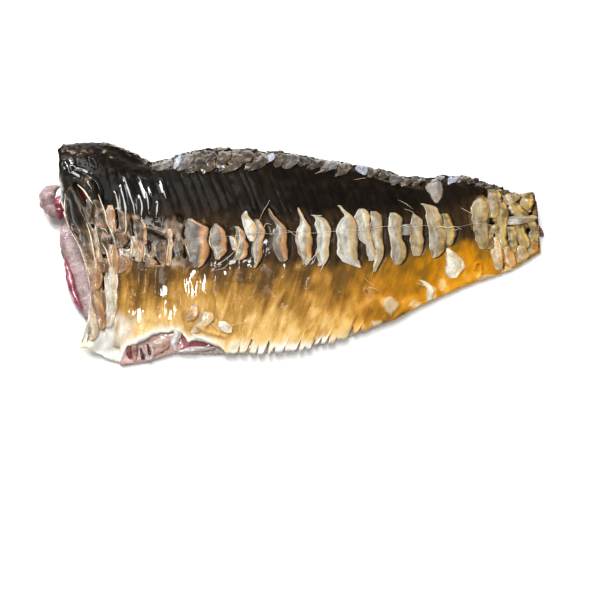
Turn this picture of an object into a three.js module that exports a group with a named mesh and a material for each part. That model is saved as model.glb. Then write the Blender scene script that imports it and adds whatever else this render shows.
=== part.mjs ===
// A scored carp fillet lying flesh side down, with the skin on.
// The fish's left side was cut off the bone, scaled, and scored from the flesh side with close parallel
// knife cuts that stop just under the skin. The skin sags a little over every cut, so it is ribbed, and
// it keeps the pale pockets of the big scales that ran along the lateral line and the back.
// One piece of food, so one solid. Millimetres: X head end to tail, Y belly to back, Z up.
import * as THREE from 'three';

// Driving sizes
const tailEnd = 129; // X of the cut across the tail
const headEnd = -110.5; // X of the head end's cut at the lateral line
const sliceCount = 48; // slices that the scoring leaves, about 5 mm each
const cutShare = 0.17; // a cut's width at the flesh side, as a share of one slice
const webUnderSkin = 3.2; // skin and flesh left over each cut
const ribDepth = 0.55; // how far the skin sags over a cut
const bendRadius = 9; // how softly a cut turns where it passes the lateral line
const bellySlits = { from: 0.3, to: 0.8, depth: 4.2 }; // shares of the length where cuts run out at the edge
const bellyNick = 1.2; // how far the other cuts nick the belly's edge
const backNick = 0.8; // and the back's edge
const thinnestWeb = 0.4; // a cut's roof never comes lower than this
const headBlend = 0.22; // share of the length over which the cuts turn away from the head end's slant
const rimInset = 0.015; // the flesh side starts this share of the section in from the rims
const topCount = 27; // points across the skin
const bottomCount = 9; // points across the flesh side

// Outlines in plan and sizes along the fish, each as [X, value]
const bellyEdge = [[-125, -52], [-100, -59], [-70, -63], [-20, -64], [10, -60], [45, -47],
  [70, -32], [92, -21], [112, -13], [130, -1]];
const backEdge = [[-125, 64.5], [-105, 66], [-78, 53], [-50, 60.5], [-28, 62.5], [10, 57],
  [40, 52], [66, 45], [92, 47], [106, 42], [122, 35], [130, 36]];
const lateralLine = [[-125, 2], [-60, -5], [20, -5], [60, -1], [100, 10], [130, 14]];
const thickness = [[-130, 19], [-95, 21], [-50, 20], [0, 18], [50, 13.5], [90, 10], [130, 7.5]];
const scalePocketSpan = [[-100, 11], [-60, 12], [0, 13.5], [60, 14], [92, 13], [118, 9]];

// The head end's cut in plan, as [Y, X], and how far bare flesh stands out past it
const headCut = [[-61, -99.5], [-35, -98.5], [-13, -104], [2, -112], [16, -117.5],
  [40, -121.5], [66, -124.5]];
const leastReach = 0.3;
const fleshReach = [[-64, 0.5], [-48, 1.5], [-36, 6], [-20, 7.5], [-4, 6], [8, 7.5], [16, 6],
  [22, 8.5], [36, 10], [43, 5], [47, 0.5], [66, 0.5]];
const fleshHeight = [[-64, 1.5], [-48, 3], [-30, 6], [-5, 8], [14, 7], [24, 9.5], [38, 9.5],
  [47, 3], [66, 1.5]];

// The cross-section, from the belly's edge to the back: [share of width, share of thickness]
const section = [[0, 0.2], [0.12, 0.36], [0.3, 0.62], [0.5, 0.88], [0.68, 1], [0.84, 0.93],
  [0.95, 0.66], [0.995, 0.33], [1, 0.04]];

// The slant of the cuts along the fish, as [share of length, tangent], above and below the lateral line
const slantToBack = [[0, 0.1], [0.2, 0.36], [0.5, 0.34], [0.75, 0.18], [1, 0]];
const slantToBelly = [[0, -0.22], [0.2, 0], [0.5, 0.34], [0.75, 0.36], [0.92, 0.18], [1, 0]];

// Large swells and dips of the slumped flesh: centre, reach and height
const swells = [
  { x: -119, y: 54, reachX: 17, reachY: 17, height: 3 },
  { x: -78, y: 46, reachX: 13, reachY: 22, height: -2.6 },
  { x: -40, y: 36, reachX: 30, reachY: 24, height: 1 },
  { x: -88, y: -52, reachX: 16, reachY: 9, height: 1.6 },
  { x: -62, y: -57, reachX: 14, reachY: 6, height: -1.2 },
  { x: 20, y: -40, reachX: 24, reachY: 12, height: 0.8 },
  { x: 62, y: -20, reachX: 18, reachY: 10, height: -0.8 },
  { x: 100, y: 24, reachX: 20, reachY: 14, height: 0.8 },
];

// The pockets that the scraped scales left along the lateral line
const pocket = { first: -100, last: 120, pitch: 10.6, halfWidth: 4.4, height: 0.7 };

function through(stations, place) {
  const last = stations.length - 1;
  const at = Math.min(Math.max(place, stations[0][0]), stations[last][0]);
  let i = 0;
  while (i < last - 1 && at > stations[i + 1][0]) i += 1;
  const slope = (k) => {
    const a = stations[Math.max(k - 1, 0)];
    const b = stations[Math.min(k + 1, last)];
    return (b[1] - a[1]) / (b[0] - a[0]);
  };
  const [x0, y0] = stations[i];
  const [x1, y1] = stations[i + 1];
  const step = x1 - x0;
  const s = (at - x0) / step;
  return (2 * s ** 3 - 3 * s ** 2 + 1) * y0 + (s ** 3 - 2 * s ** 2 + s) * step * slope(i)
    + (3 * s ** 2 - 2 * s ** 3) * y1 + (s ** 3 - s ** 2) * step * slope(i + 1);
}

const sectionWidth = section.map(([width], k) => [k / (section.length - 1), width]);
const sectionRise = section.map(([, rise], k) => [k / (section.length - 1), rise]);

// A cut's bend away from straight across, at a distance above or below the lateral line
function cutOffset(share, distance) {
  const slant = through(distance > 0 ? slantToBack : slantToBelly, share);
  return -slant * (Math.hypot(distance, bendRadius) - bendRadius);
}

// X of the cut line that stands at this share of the length, at height y in plan
function cutLineX(share, y) {
  const middle = headEnd + (tailEnd - headEnd) * share;
  const x = middle + cutOffset(share, y - through(lateralLine, middle));
  const nearHead = Math.max(1 - share / headBlend, 0) ** 2;
  const plainHead = headEnd + cutOffset(0, y - through(lateralLine, headEnd));
  return x + nearHead * (through(headCut, y) - plainHead);
}

// Where a cut line meets the belly's and the back's edges
function edgeOf(outline, share) {
  let y = through(outline, headEnd + (tailEnd - headEnd) * share);
  for (let n = 0; n < 6; n += 1) y = through(outline, cutLineX(share, y));
  return y;
}

function swellAt(x, y) {
  return swells.reduce((sum, s) => {
    const far = ((x - s.x) / s.reachX) ** 2 + ((y - s.y) / s.reachY) ** 2;
    return sum + s.height * Math.exp(-far);
  }, 0);
}

// Leaf-shaped pockets in a row, uneven in width and place
function pocketRelief(x, y) {
  const row = Math.round((x - pocket.first) / pocket.pitch);
  let relief = 0;
  for (let k = row - 1; k <= row + 1; k += 1) {
    const middle = pocket.first + k * pocket.pitch + 1.3 * Math.sin(2.3 * k);
    if (middle > pocket.last || middle < pocket.first) continue;
    const halfSpan = through(scalePocketSpan, middle) * (1 + 0.12 * Math.sin(1.7 * k));
    const up = (y - through(lateralLine, middle) - 3 - 1.5 * Math.sin(3.1 * k)) / halfSpan;
    const halfWidth = pocket.halfWidth * Math.sqrt(Math.max(1 - up * up, 0));
    const inside = Math.min(Math.max(1.6 * (1 - Math.abs(x - middle) / (halfWidth + 0.01)), 0), 1);
    relief = Math.max(relief, pocket.height * inside);
  }
  return relief;
}

// Height of the skin over a point of the plan, at one place of the cross-section
function skinHeight(x, y, across) {
  const soft = Math.sin(Math.PI * Math.min(across * 3, 1) / 2) * Math.min((1 - across) * 6, 1);
  return through(thickness, x) * through(sectionRise, across) + soft * (swellAt(x, y) + pocketRelief(x, y));
}

// One closed ring of points across the fillet: over the skin from belly to back, then back underneath
function ring(share, isCut) {
  const inSlits = share > bellySlits.from && share < bellySlits.to;
  const belly = edgeOf(bellyEdge, share) + (isCut ? (inSlits ? bellySlits.depth : bellyNick) : 0);
  const back = edgeOf(backEdge, share) - (isCut ? backNick : 0);
  const points = [];
  const skin = (across, sag) => {
    const y = belly + (back - belly) * Math.min(through(sectionWidth, across), 1);
    const x = cutLineX(share, y);
    return new THREE.Vector3(x, y, skinHeight(x, y, across) - sag);
  };
  for (let j = 0; j < topCount; j += 1) {
    const across = j / (topCount - 1);
    points.push(skin(across, isCut ? ribDepth * Math.sin(Math.PI * across) : 0));
  }
  for (let j = 0; j < bottomCount; j += 1) {
    const point = skin(1 - rimInset - (1 - 2 * rimInset) * (j / (bottomCount - 1)), 0);
    point.z = isCut ? Math.max(point.z - webUnderSkin, thinnestWeb) : 0;
    points.push(point);
  }
  return points;
}

// The bare flesh that stands out past the skin at the head end, at a share of its reach and its height
function fleshRing(reachShare, heightShare) {
  return ring(0, false).map((point, index) => {
    const out = point.clone();
    out.x -= leastReach + Math.max(through(fleshReach, point.y), leastReach) * reachShare;
    if (index < topCount) out.z = Math.min(point.z, through(fleshHeight, point.y) * heightShare);
    return out;
  });
}

// Slices are uneven: a knife never falls at quite the same distance
function cutPlace(k) {
  const uneven = 0.2 * Math.sin(2.4 * k) * Math.sin((Math.PI * k) / sliceCount);
  return (k + uneven) / sliceCount;
}

// The rounded nose of the bare flesh, then two rings for each slice and one over each cut
const rings = [fleshRing(1, 0.55), fleshRing(0.75, 0.95), fleshRing(0, 1.1)];
for (let k = 0; k < sliceCount; k += 1) {
  const half = cutShare / sliceCount / 2;
  rings.push(ring(k === 0 ? 0 : cutPlace(k) + half, false));
  rings.push(ring(k === sliceCount - 1 ? 1 : cutPlace(k + 1) - half, false));
  if (k < sliceCount - 1) rings.push(ring(cutPlace(k + 1), true));
}

// Walls between the rings, and a flat cap on each end
function solidThrough(allRings) {
  const count = allRings[0].length;
  const positions = allRings.flat().flatMap((p) => [p.x, p.y, p.z]);
  const faces = [];
  for (let i = 0; i < allRings.length - 1; i += 1) {
    for (let j = 0; j < count; j += 1) {
      const a = i * count + j;
      const b = i * count + ((j + 1) % count);
      faces.push(a, a + count, b, b, a + count, b + count);
    }
  }
  // A cap is a strip between the skin's points and the flesh side's, walked from belly to back
  const cap = (start, facesHead) => {
    let top = 0;
    let bottom = count - 1;
    while (top < topCount - 1 || bottom > topCount) {
      const topShare = (top + 1) / (topCount - 1);
      const bottomShare = (count - bottom) / (bottomCount - 1);
      const onTop = top < topCount - 1 && (topShare <= bottomShare || bottom === topCount);
      const next = onTop ? top + 1 : bottom - 1;
      const face = facesHead ? [top, next, bottom] : [top, bottom, next];
      faces.push(...face.map((point) => start + point));
      if (onTop) top = next;
      else bottom = next;
    }
  };
  cap(0, true);
  cap((allRings.length - 1) * count, false);
  const geometry = new THREE.BufferGeometry();
  geometry.setAttribute('position', new THREE.Float32BufferAttribute(positions, 3));
  geometry.setIndex(faces);
  return geometry;
}

// The origin is the middle of the underside
const filletShape = solidThrough(rings);
filletShape.computeBoundingBox();
const box = filletShape.boundingBox;
filletShape.translate(-(box.min.x + box.max.x) / 2, -(box.min.y + box.max.y) / 2, -box.min.z);
filletShape.computeVertexNormals();

const wetSkin = new THREE.MeshStandardMaterial({ color: 0x6b4f24, roughness: 0.3, metalness: 0 });
const fillet = new THREE.Mesh(filletShape, wetSkin);
fillet.name = 'fillet';

const carpFillet = new THREE.Group();
carpFillet.add(fillet);

export default carpFillet;
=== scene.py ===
import math

import bmesh
import bpy
import numpy as np
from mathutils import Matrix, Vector
from mathutils.bvhtree import BVHTree


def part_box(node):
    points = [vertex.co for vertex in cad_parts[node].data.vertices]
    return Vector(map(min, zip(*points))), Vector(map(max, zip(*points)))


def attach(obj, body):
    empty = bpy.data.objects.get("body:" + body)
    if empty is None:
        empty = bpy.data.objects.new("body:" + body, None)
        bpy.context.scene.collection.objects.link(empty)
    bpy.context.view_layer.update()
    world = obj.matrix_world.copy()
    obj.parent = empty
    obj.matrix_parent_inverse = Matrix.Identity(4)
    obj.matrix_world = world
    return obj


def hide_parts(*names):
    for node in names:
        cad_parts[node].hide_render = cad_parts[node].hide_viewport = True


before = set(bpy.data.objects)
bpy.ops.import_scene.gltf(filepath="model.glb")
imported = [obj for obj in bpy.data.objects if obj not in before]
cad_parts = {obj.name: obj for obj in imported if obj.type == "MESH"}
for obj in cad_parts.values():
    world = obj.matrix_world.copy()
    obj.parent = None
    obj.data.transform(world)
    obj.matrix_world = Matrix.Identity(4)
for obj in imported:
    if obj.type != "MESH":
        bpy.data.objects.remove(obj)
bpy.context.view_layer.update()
filletLow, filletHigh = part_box("fillet")
mm = 0.001

print("stage: shape of the fillet")

# Outlines in plan and sizes along the fish in millimetres, as in the part
fish = {
    "tailEnd": 129, "headEnd": -110.5, "sliceCount": 48, "bendRadius": 9, "headBlend": 0.22,
    "bellyEdge": [(-125, -52), (-100, -59), (-70, -63), (-20, -64), (10, -60), (45, -47),
                  (70, -32), (92, -21), (112, -13), (130, -1)],
    "backEdge": [(-125, 64.5), (-105, 66), (-78, 53), (-50, 60.5), (-28, 62.5), (10, 57),
                 (40, 52), (66, 45), (92, 47), (106, 42), (122, 35), (130, 36)],
    "lateralLine": [(-125, 2), (-60, -5), (20, -5), (60, -1), (100, 10), (130, 14)],
    "thickness": [(-130, 19), (-95, 21), (-50, 20), (0, 18), (50, 13.5), (90, 10), (130, 7.5)],
    "headCut": [(-61, -99.5), (-35, -98.5), (-13, -104), (2, -112), (16, -117.5), (40, -121.5), (66, -124.5)],
    "section": [(0, 0.2), (0.12, 0.36), (0.3, 0.62), (0.5, 0.88), (0.68, 1), (0.84, 0.93),
                (0.95, 0.66), (0.995, 0.33), (1, 0.04)],
    "slantToBack": [(0, 0.1), (0.2, 0.36), (0.5, 0.34), (0.75, 0.18), (1, 0)],
    "slantToBelly": [(0, -0.22), (0.2, 0), (0.5, 0.34), (0.75, 0.36), (0.92, 0.18), (1, 0)],
    "swells": [(-119, 54, 17, 17, 3), (-78, 46, 13, 22, -2.6), (-40, 36, 30, 24, 1), (-88, -52, 16, 9, 1.6),
               (-62, -57, 14, 6, -1.2), (20, -40, 24, 12, 0.8), (62, -20, 18, 10, -0.8),
               (100, 24, 20, 14, 0.8)],
}


def curve(places, values, at):  # smooth curve through values at rising places
    slopes = np.empty_like(values)
    slopes[1:-1] = (values[2:] - values[:-2]) / (places[2:] - places[:-2])
    slopes[0] = (values[1] - values[0]) / (places[1] - places[0])
    slopes[-1] = (values[-1] - values[-2]) / (places[-1] - places[-2])
    at = np.clip(at, places[0], places[-1])
    i = np.clip(np.searchsorted(places, at, side="right") - 1, 0, len(places) - 2)
    step = places[i + 1] - places[i]
    s = (at - places[i]) / step
    return ((2 * s**3 - 3 * s**2 + 1) * values[i] + (s**3 - 2 * s**2 + s) * step * slopes[i]
            + (3 * s**2 - 2 * s**3) * values[i + 1] + (s**3 - s**2) * step * slopes[i + 1])


def through(stations, at):  # the same through (place, value) stations
    return curve(*np.array(stations, float).T, at)


def smooth(low, high, value):  # 0 at low, 1 at high, soft at both ends
    t = np.clip((value - low) / (high - low), 0, 1)
    return t * t * (3 - 2 * t)


def zone(value, *limits):  # 1 in a zone that begins, is full, fades and ends at four limits
    return smooth(*limits[:2], value) * (1 - smooth(*limits[2:], value))


def bell(value, width):  # 1 at 0, falling off over the width on both sides
    return np.exp(-((value / width) ** 2))


def softNoise(x, y, seed, size=64):  # value noise from -1 to 1, one feature per unit, repeated after size
    lattice = np.random.default_rng(seed).uniform(-1, 1, (size, size))
    i, j = np.floor(x).astype(int), np.floor(y).astype(int)
    a, b = smooth(0, 1, x - i), smooth(0, 1, y - j)
    low, high = [lattice[i % size, k % size] * (1 - a) + lattice[(i + 1) % size, k % size] * a
                 for k in (j, j + 1)]
    return low * (1 - b) + high * b


sectionWidth, sectionRise = np.array(fish["section"], float).T
sectionAt = np.linspace(0, 1, len(sectionWidth))
evenly = np.linspace(0, 1, 400)  # places for lookups
widthTable = curve(sectionAt, sectionWidth, evenly)
fishLength = fish["tailEnd"] - fish["headEnd"]


def widthAt(across):  # share of the fillet's width at a place across the skin
    return np.minimum(curve(sectionAt, sectionWidth, across), 1)


def cutOffset(share, distance):  # how far a cut leans from its middle, at a distance from the lateral line
    slant = np.where(distance > 0, through(fish["slantToBack"], share), through(fish["slantToBelly"], share))
    return -slant * (np.hypot(distance, fish["bendRadius"]) - fish["bendRadius"])


def cutLineX(share, y):  # x of the cut line at this share of the length, at height y in plan
    middle = fish["headEnd"] + fishLength * share
    nearHead = np.clip(1 - share / fish["headBlend"], 0, 1) ** 2
    plainHead = fish["headEnd"] + cutOffset(0.0, y - through(fish["lateralLine"], fish["headEnd"]))
    return (middle + cutOffset(share, y - through(fish["lateralLine"], middle))
            + nearHead * (through(fish["headCut"], y) - plainHead))


def edgeOf(outline, share):  # y of the belly's or the back's edge on the cut line, found in six steps
    y = through(outline, fish["headEnd"] + fishLength * share)
    for n in range(6):
        y = through(outline, cutLineX(share, y))
    return y


edgeSpan = edgeOf(fish["bellyEdge"], evenly).min() + edgeOf(fish["backEdge"], evenly).max()
middleY = (filletLow.y + filletHigh.y) / 2 / mm
shift = np.array([filletHigh.x / mm - fish["tailEnd"], middleY - edgeSpan / 2, 0])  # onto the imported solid


def swellAt(x, y):
    return sum(high * np.exp(-(((x - cx) / rx) ** 2 + ((y - cy) / ry) ** 2))
               for cx, cy, rx, ry, high in fish["swells"])


def skinPoint(share, across, retreat=0.0):  # point on the plain skin; the retreat draws back the belly's edge
    belly, back = edgeOf(fish["bellyEdge"], share), edgeOf(fish["backEdge"], share)
    width = widthAt(across)
    pulled = width + retreat / (back - belly) * (1 - width) ** 3
    across = np.where(width < 0.8, np.interp(pulled, widthTable, evenly), across)
    y = belly + (back - belly) * widthAt(across)
    x = cutLineX(share, y)
    soft = np.sin(np.pi * np.minimum(across * 3, 1) / 2) * np.minimum((1 - across) * 6, 1)
    z = through(fish["thickness"], x) * curve(sectionAt, sectionRise, across) + soft * swellAt(x, y)
    return np.stack([x, y, z], -1) + shift


def lateralY(x):  # height of the lateral line in plan
    return through(fish["lateralLine"], x - shift[0]) + shift[1]


def cutPlace(k):  # share of the length at cut k, as in the part
    count = fish["sliceCount"]
    return (k + 0.2 * np.sin(2.4 * k) * np.sin(np.pi * k / count)) / count


print("stage: node helpers")


class Wire:  # a socket whose arithmetic adds Math nodes
    def __init__(self, bench, socket):
        self.bench, self.socket = bench, socket

    def math(self, operation, *values):
        return self.bench.node("ShaderNodeMath", {"operation": operation}, dict(enumerate(values)))

    def __add__(self, other):
        return self.math("ADD", self, other)

    def __radd__(self, other):
        return self.math("ADD", other, self)

    def __sub__(self, other):
        return self.math("SUBTRACT", self, other)

    def __rsub__(self, other):
        return self.math("SUBTRACT", other, self)

    def __mul__(self, other):
        return self.math("MULTIPLY", self, other)

    def __rmul__(self, other):
        return self.math("MULTIPLY", other, self)

    def __pow__(self, other):
        return self.math("POWER", self, other)

    def atLeast(self, low):
        return self.math("MAXIMUM", self, low)

    def atMost(self, high):
        return self.math("MINIMUM", self, high)

    def between(self, low, high):  # 0 at low, 1 at high, soft at both ends
        return self.bench.node("ShaderNodeMapRange", {"interpolation_type": "SMOOTHSTEP"},
                               {"Value": self, "From Min": low, "From Max": high})


class Bench:  # a node tree being wired
    def __init__(self, tree):
        self.tree = tree

    def node(self, kind, settings=None, sockets=None, out=0):
        made = self.tree.nodes.new(kind)
        for name, value in (settings or {}).items():
            if name == "stops":
                ramp = made.color_ramp
                while len(ramp.elements) < len(value):
                    ramp.elements.new(0.5)
                for element, (place, *seen) in zip(ramp.elements, value):
                    element.position, element.color = place, tint(*seen)
            else:
                setattr(made, name, value)
        for key, value in (sockets or {}).items():
            for one in value if isinstance(value, list) else [value]:
                if isinstance(one, Wire):
                    self.tree.links.new(one.socket, made.inputs[key])
                else:
                    made.inputs[key].default_value = one
        return Wire(self, made.outputs[out]) if made.outputs else None

    def vector(self, operation, *values):
        return self.node("ShaderNodeVectorMath", {"operation": operation}, dict(enumerate(values)))

    def joined(self, x, y, z):
        return self.node("ShaderNodeCombineXYZ", {}, {0: x, 1: y, 2: z})

    def parts(self, vector):  # its x, y and z
        split = self.node("ShaderNodeSeparateXYZ", {}, {0: vector})
        return [Wire(self, output) for output in split.socket.node.outputs]


def tint(red, green, blue):  # a colour as seen, 0 to 255, for a socket
    seen = [value / 255 for value in (red, green, blue)]
    return (*[v / 12.92 if v <= 0.04045 else ((v + 0.055) / 1.055) ** 2.4 for v in seen], 1)


class Finish(Bench):  # a material being wired
    def __init__(self, name, *preview):
        self.material = bpy.data.materials.new(name)
        self.material.use_nodes = True
        self.material.diffuse_color = tint(*preview)
        super().__init__(self.material.node_tree)
        self.tree.nodes.clear()
        self.place = self.node("ShaderNodeTexCoord", out="Object")

    def attributes(self, *names):
        return [self.node("ShaderNodeAttribute", {"attribute_name": name}, out="Fac") for name in names]

    def along(self, name):  # an attribute that is a vector
        return self.node("ShaderNodeAttribute", {"attribute_name": name}, out="Vector")

    def noise(self, scale, detail=2.0, roughness=0.5, distortion=0.0, vector=None):
        return self.node("ShaderNodeTexNoise", {}, {"Vector": vector or self.place, "Scale": scale,
                                                    "Detail": detail, "Roughness": roughness,
                                                    "Distortion": distortion})

    def grain(self, vector, stretch, detail, roughness, distortion=0.0):  # noise, stretched each way
        return self.noise(1, detail, roughness, distortion, self.vector("MULTIPLY", vector, stretch))

    def mix(self, factor, low, high, blend="MIX"):
        low, high = [side if isinstance(side, Wire) else tint(*side) for side in (low, high)]
        return self.node("ShaderNodeMix", {"data_type": "RGBA", "blend_type": blend},
                         {0: factor, 6: low, 7: high}, 2)

    def stain(self, factor, colour, by):
        return self.mix(factor, colour, by, "MULTIPLY")

    def ramp(self, factor, *stops):  # stops are a place and a colour as seen
        return self.node("ShaderNodeValToRGB", {"stops": stops}, {"Fac": factor})

    def bump(self, *layers):  # each layer a height, a strength and a distance, over the one before
        normal = None
        for height, strength, distance in layers:
            sockets = {"Height": height, "Strength": strength, "Distance": distance}
            if normal:
                sockets["Normal"] = normal
            normal = self.node("ShaderNodeBump", {}, sockets)
        return normal

    def close(self, **sockets):
        sockets = {key.replace("_", " "): value for key, value in sockets.items()}
        shader = self.node("ShaderNodeBsdfPrincipled", {}, sockets)
        self.node("ShaderNodeOutputMaterial", {}, {"Surface": shader})
        return self.material


def meshObject(name, points, faces, attributes=None, uv=None, material=None, edges=()):  # in millimetres
    mesh = bpy.data.meshes.new(name)
    mesh.from_pydata(np.asarray(points, float) * mm, edges, faces)
    for key, values in (attributes or {}).items():
        values = np.asarray(values, np.float32)
        kind, field = ("FLOAT", "value") if values.ndim == 1 else ("FLOAT_VECTOR", "vector")
        mesh.attributes.new(key, kind, "POINT").data.foreach_set(field, values.ravel())
    if uv is not None:
        corners = np.empty(len(mesh.loops), np.int32)
        mesh.loops.foreach_get("vertex_index", corners)
        mesh.uv_layers.new(name="cuts").data.foreach_set("uv", np.asarray(uv, np.float32)[corners].ravel())
    mesh.polygons.foreach_set("use_smooth", np.ones(len(mesh.polygons), bool))
    mesh.update()
    made = bpy.data.objects.new(name, mesh)
    bpy.context.scene.collection.objects.link(made)
    if material:
        mesh.materials.append(material)
    return made


def gridFaces(rows, columns, start=0, turned=False):
    a = (np.arange(rows - 1)[:, None] * columns + np.arange(columns - 1) + start).ravel()
    b, c, d = a + 1, a + columns + 1, a + columns
    return np.stack([a, b, c, d] if turned else [a, d, c, b], 1).tolist()


def laced(first, second, firstAt, secondAt):  # triangles between two rows of points, walked together
    faces, i, j = [], 0, 0
    while i < len(first) - 1 or j < len(second) - 1:
        if j == len(second) - 1 or (i < len(first) - 1 and firstAt[i + 1] <= secondAt[j + 1]):
            faces.append((first[i], first[i + 1], second[j]))
            i += 1
        else:
            faces.append((first[i], second[j + 1], second[j]))
            j += 1
    return faces


def pathField(paths, x, y):  # 1 on the paths and 0 away from them, slimmer towards their ends
    field = np.zeros(x.shape)
    for width, *points in paths:
        places, fine = np.linspace(0, 1, len(points)), np.linspace(0, 1, 12 * len(points))
        lineX, lineY = [curve(places, column, fine) for column in np.array(points, float).T]
        near = (x > lineX.min() - 3 * width) & (x < lineX.max() + 3 * width)
        near &= (y > lineY.min() - 3 * width) & (y < lineY.max() + 3 * width)
        away = np.hypot(x[near][:, None] - lineX, y[near][:, None] - lineY)
        slim = width * np.sqrt(np.clip(np.sin(np.pi * (0.03 + 0.94 * fine[away.argmin(1)])), 0.05, 1))
        field[near] = np.maximum(field[near], bell(away.min(1), slim))
    return field


def settle(piece):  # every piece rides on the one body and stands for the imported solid
    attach(piece, "root")
    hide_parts("fillet")
    print(piece.name, len(piece.data.polygons))


print("stage: finishes")

fleshGlow = (1, 0.35, 0.25)  # how far red, green and blue light travel in flesh


def skinFinish():
    f = Finish("wetSkin", 107, 79, 36)
    gold, glow, warm, wet = f.attributes("gold", "glow", "warm", "wet")
    sheen, bronze, net, pale = f.attributes("sheen", "bronze", "net", "pale")
    crust, rust, cream, dusk, blood = f.attributes("crust", "rust", "cream", "dusk", "blood")
    flecks, blotches, fine = f.noise(1500, 2, 0.6), f.noise(110, 3, 0.6), f.noise(900, 4, 0.6)
    streaks = f.grain(f.along("cuts"), (84, 16, 0), 3, 0.6, 0.6)
    bands = f.grain(f.along("cuts"), (36, 7, 0), 2, 0.5, 0.8)
    back = f.ramp(streaks * 0.5 + blotches * 0.5, (0.32, 6, 4, 2), (0.5, 16, 11, 7), (0.7, 34, 25, 16))
    # painted sheen along the rib crests of the back
    back = f.mix(sheen * streaks.between(0.3, 0.6), back, (42, 37, 32))
    back = f.mix(bronze, back, f.ramp(streaks * 0.5 + flecks * 0.5, (0.34, 34, 25, 14), (0.66, 92, 68, 38)))
    glow = glow + (bands - 0.5) * 1.1 + (streaks - 0.5) * 0.45 + (flecks - 0.5) * 0.4
    paleBelly = f.ramp(glow, (0, 84, 61, 31), (0.14, 114, 81, 36), (0.4, 158, 115, 50), (0.58, 186, 142, 72),
                       (0.76, 212, 169, 96), (1, 222, 190, 128))
    deepBelly = f.ramp(glow, (0, 134, 94, 24), (0.14, 162, 109, 18), (0.4, 188, 121, 12), (0.6, 202, 132, 18),
                       (0.8, 218, 152, 38), (1, 226, 172, 74))
    colour = f.mix(gold, back, f.mix(warm, paleBelly, deepBelly))
    colour = f.mix(net, colour, f.ramp(blotches * 0.5 + flecks * 0.5, (0.42, 82, 60, 27),
                                       (0.6, 188, 154, 84)))
    colour = f.mix(pale, colour, f.ramp(blotches * 0.6 + streaks * 0.4, (0.38, 92, 72, 56),
                                        (0.5, 150, 128, 106), (0.62, 204, 190, 168)))
    # crust near the back's edge at the head end, with painted glints on the black band
    colour = f.mix(crust, colour, f.ramp(blotches * 0.4 + f.noise(420, 3, 0.7) * 0.6, (0.42, 18, 13, 8),
                                         (0.52, 58, 45, 31), (0.64, 164, 151, 130)))
    colour = f.mix(rust, colour, f.ramp(streaks, (0.36, 150, 98, 48), (0.62, 206, 162, 108)))
    white = f.ramp(streaks * 0.7 + blotches * 0.3, (0.36, 224, 200, 148), (0.46, 228, 220, 200),
                   (0.56, 232, 233, 230), (0.68, 212, 216, 220))
    colour = f.mix(cream, colour, f.stain(warm * 0.8, white, (255, 232, 168)))
    # the dark places: painted shade in valleys, hollows, slots and holes, painted shadow beside the pockets,
    # and darker skin
    colour = f.mix(blood, f.mix(dusk, colour, (24, 17, 11)), (92, 22, 22))
    normal = f.bump((fine, 0.3, 0.0004), (streaks, 0.2, 0.0008))
    return f.close(Base_Color=colour, Roughness=0.5 - wet * 0.2, Coat_Weight=wet, Coat_Roughness=0.05,
                   Coat_IOR=1.5, Specular_IOR_Level=0.03, Normal=normal)


def fleshFinish():
    f = Finish("rawFlesh", 205, 165, 158)
    fibres = f.grain(f.along("cuts"), (16, 60, 0), 4, 0.6)
    layers = f.grain(f.place, (250, 250, 700), 4, 0.6, 0.8)
    blotches = f.noise(90, 3, 0.6)
    colour = f.ramp(fibres * 0.35 + blotches * 0.3 + layers * 0.35, (0.38, 120, 74, 74),
                    (0.48, 158, 120, 116), (0.56, 178, 148, 144), (0.64, 208, 188, 184))
    across = f.parts(f.along("cuts"))[1]
    colour = f.mix((across + blotches * 0.05).between(0.13, 0.05), colour, (200, 184, 170))
    redLine = (across + blotches * 0.06).between(0.42, 0.5) * (across + blotches * 0.06).between(0.62, 0.53)
    colour = f.mix(redLine * 0.8, colour, f.ramp(blotches, (0.35, 104, 32, 42), (0.65, 160, 84, 88)))
    return f.close(Base_Color=colour, Roughness=0.42, Coat_Weight=0.6, Coat_Roughness=0.12,
                   Normal=f.bump((layers, 0.5, 0.0005)), Subsurface_Weight=0.25, Subsurface_Radius=fleshGlow,
                   Subsurface_Scale=0.003)


# Thin skin: colours by tone for the low and the raised part of a leaf and where across it they meet, how many
# fibres run each way, and where it differs how dark the deep tones' patches and the painted shade at the
# right edge are, and its gloss
membraneLooks = {
    "pocket": dict(name="scalePocket", meet=0.62, fibres=(3.5, 2.5, 1), patches=1,
                   low=[(0, 74, 59, 37), (0.3, 140, 124, 90), (0.55, 203, 206, 198), (0.75, 164, 148, 114),
                        (0.9, 176, 157, 98), (1, 174, 152, 86)],
                   raised=[(0, 180, 116, 42), (0.3, 204, 148, 70), (0.55, 203, 181, 134),
                           (0.75, 178, 148, 92), (0.9, 212, 174, 90), (1, 224, 186, 92)]),
    "fold": dict(name="skinFold", meet=0.62, fibres=(5, 1.5, 1), rim=0.5, shine=0.15,
                 low=[(0, 30, 23, 19), (0.2, 48, 38, 31), (0.42, 88, 78, 64), (0.62, 142, 108, 82),
                      (0.8, 178, 147, 118), (1, 220, 216, 200)],
                 raised=[(0, 26, 20, 16), (0.2, 47, 34, 23), (0.42, 88, 69, 45), (0.62, 146, 100, 58),
                         (0.8, 188, 136, 80), (1, 208, 190, 160)]),
    "scrap": dict(name="membraneScrap", meet=0.6, fibres=(3, 3, 1),
                  low=[(0, 150, 152, 148), (0.4, 202, 150, 82), (0.6, 198, 168, 112), (1, 244, 238, 218)],
                  raised=[(0, 128, 126, 118), (0.4, 204, 132, 48), (0.6, 210, 152, 66), (1, 242, 224, 180)]),
    "strip": dict(name="wallStrip", meet=0.6, fibres=(4, 6, 1),
                  low=[(0, 170, 112, 104), (0.5, 198, 164, 148), (1, 238, 236, 240)],
                  raised=[(0, 140, 78, 76), (0.5, 180, 134, 120), (1, 222, 206, 204)]),
}


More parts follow.
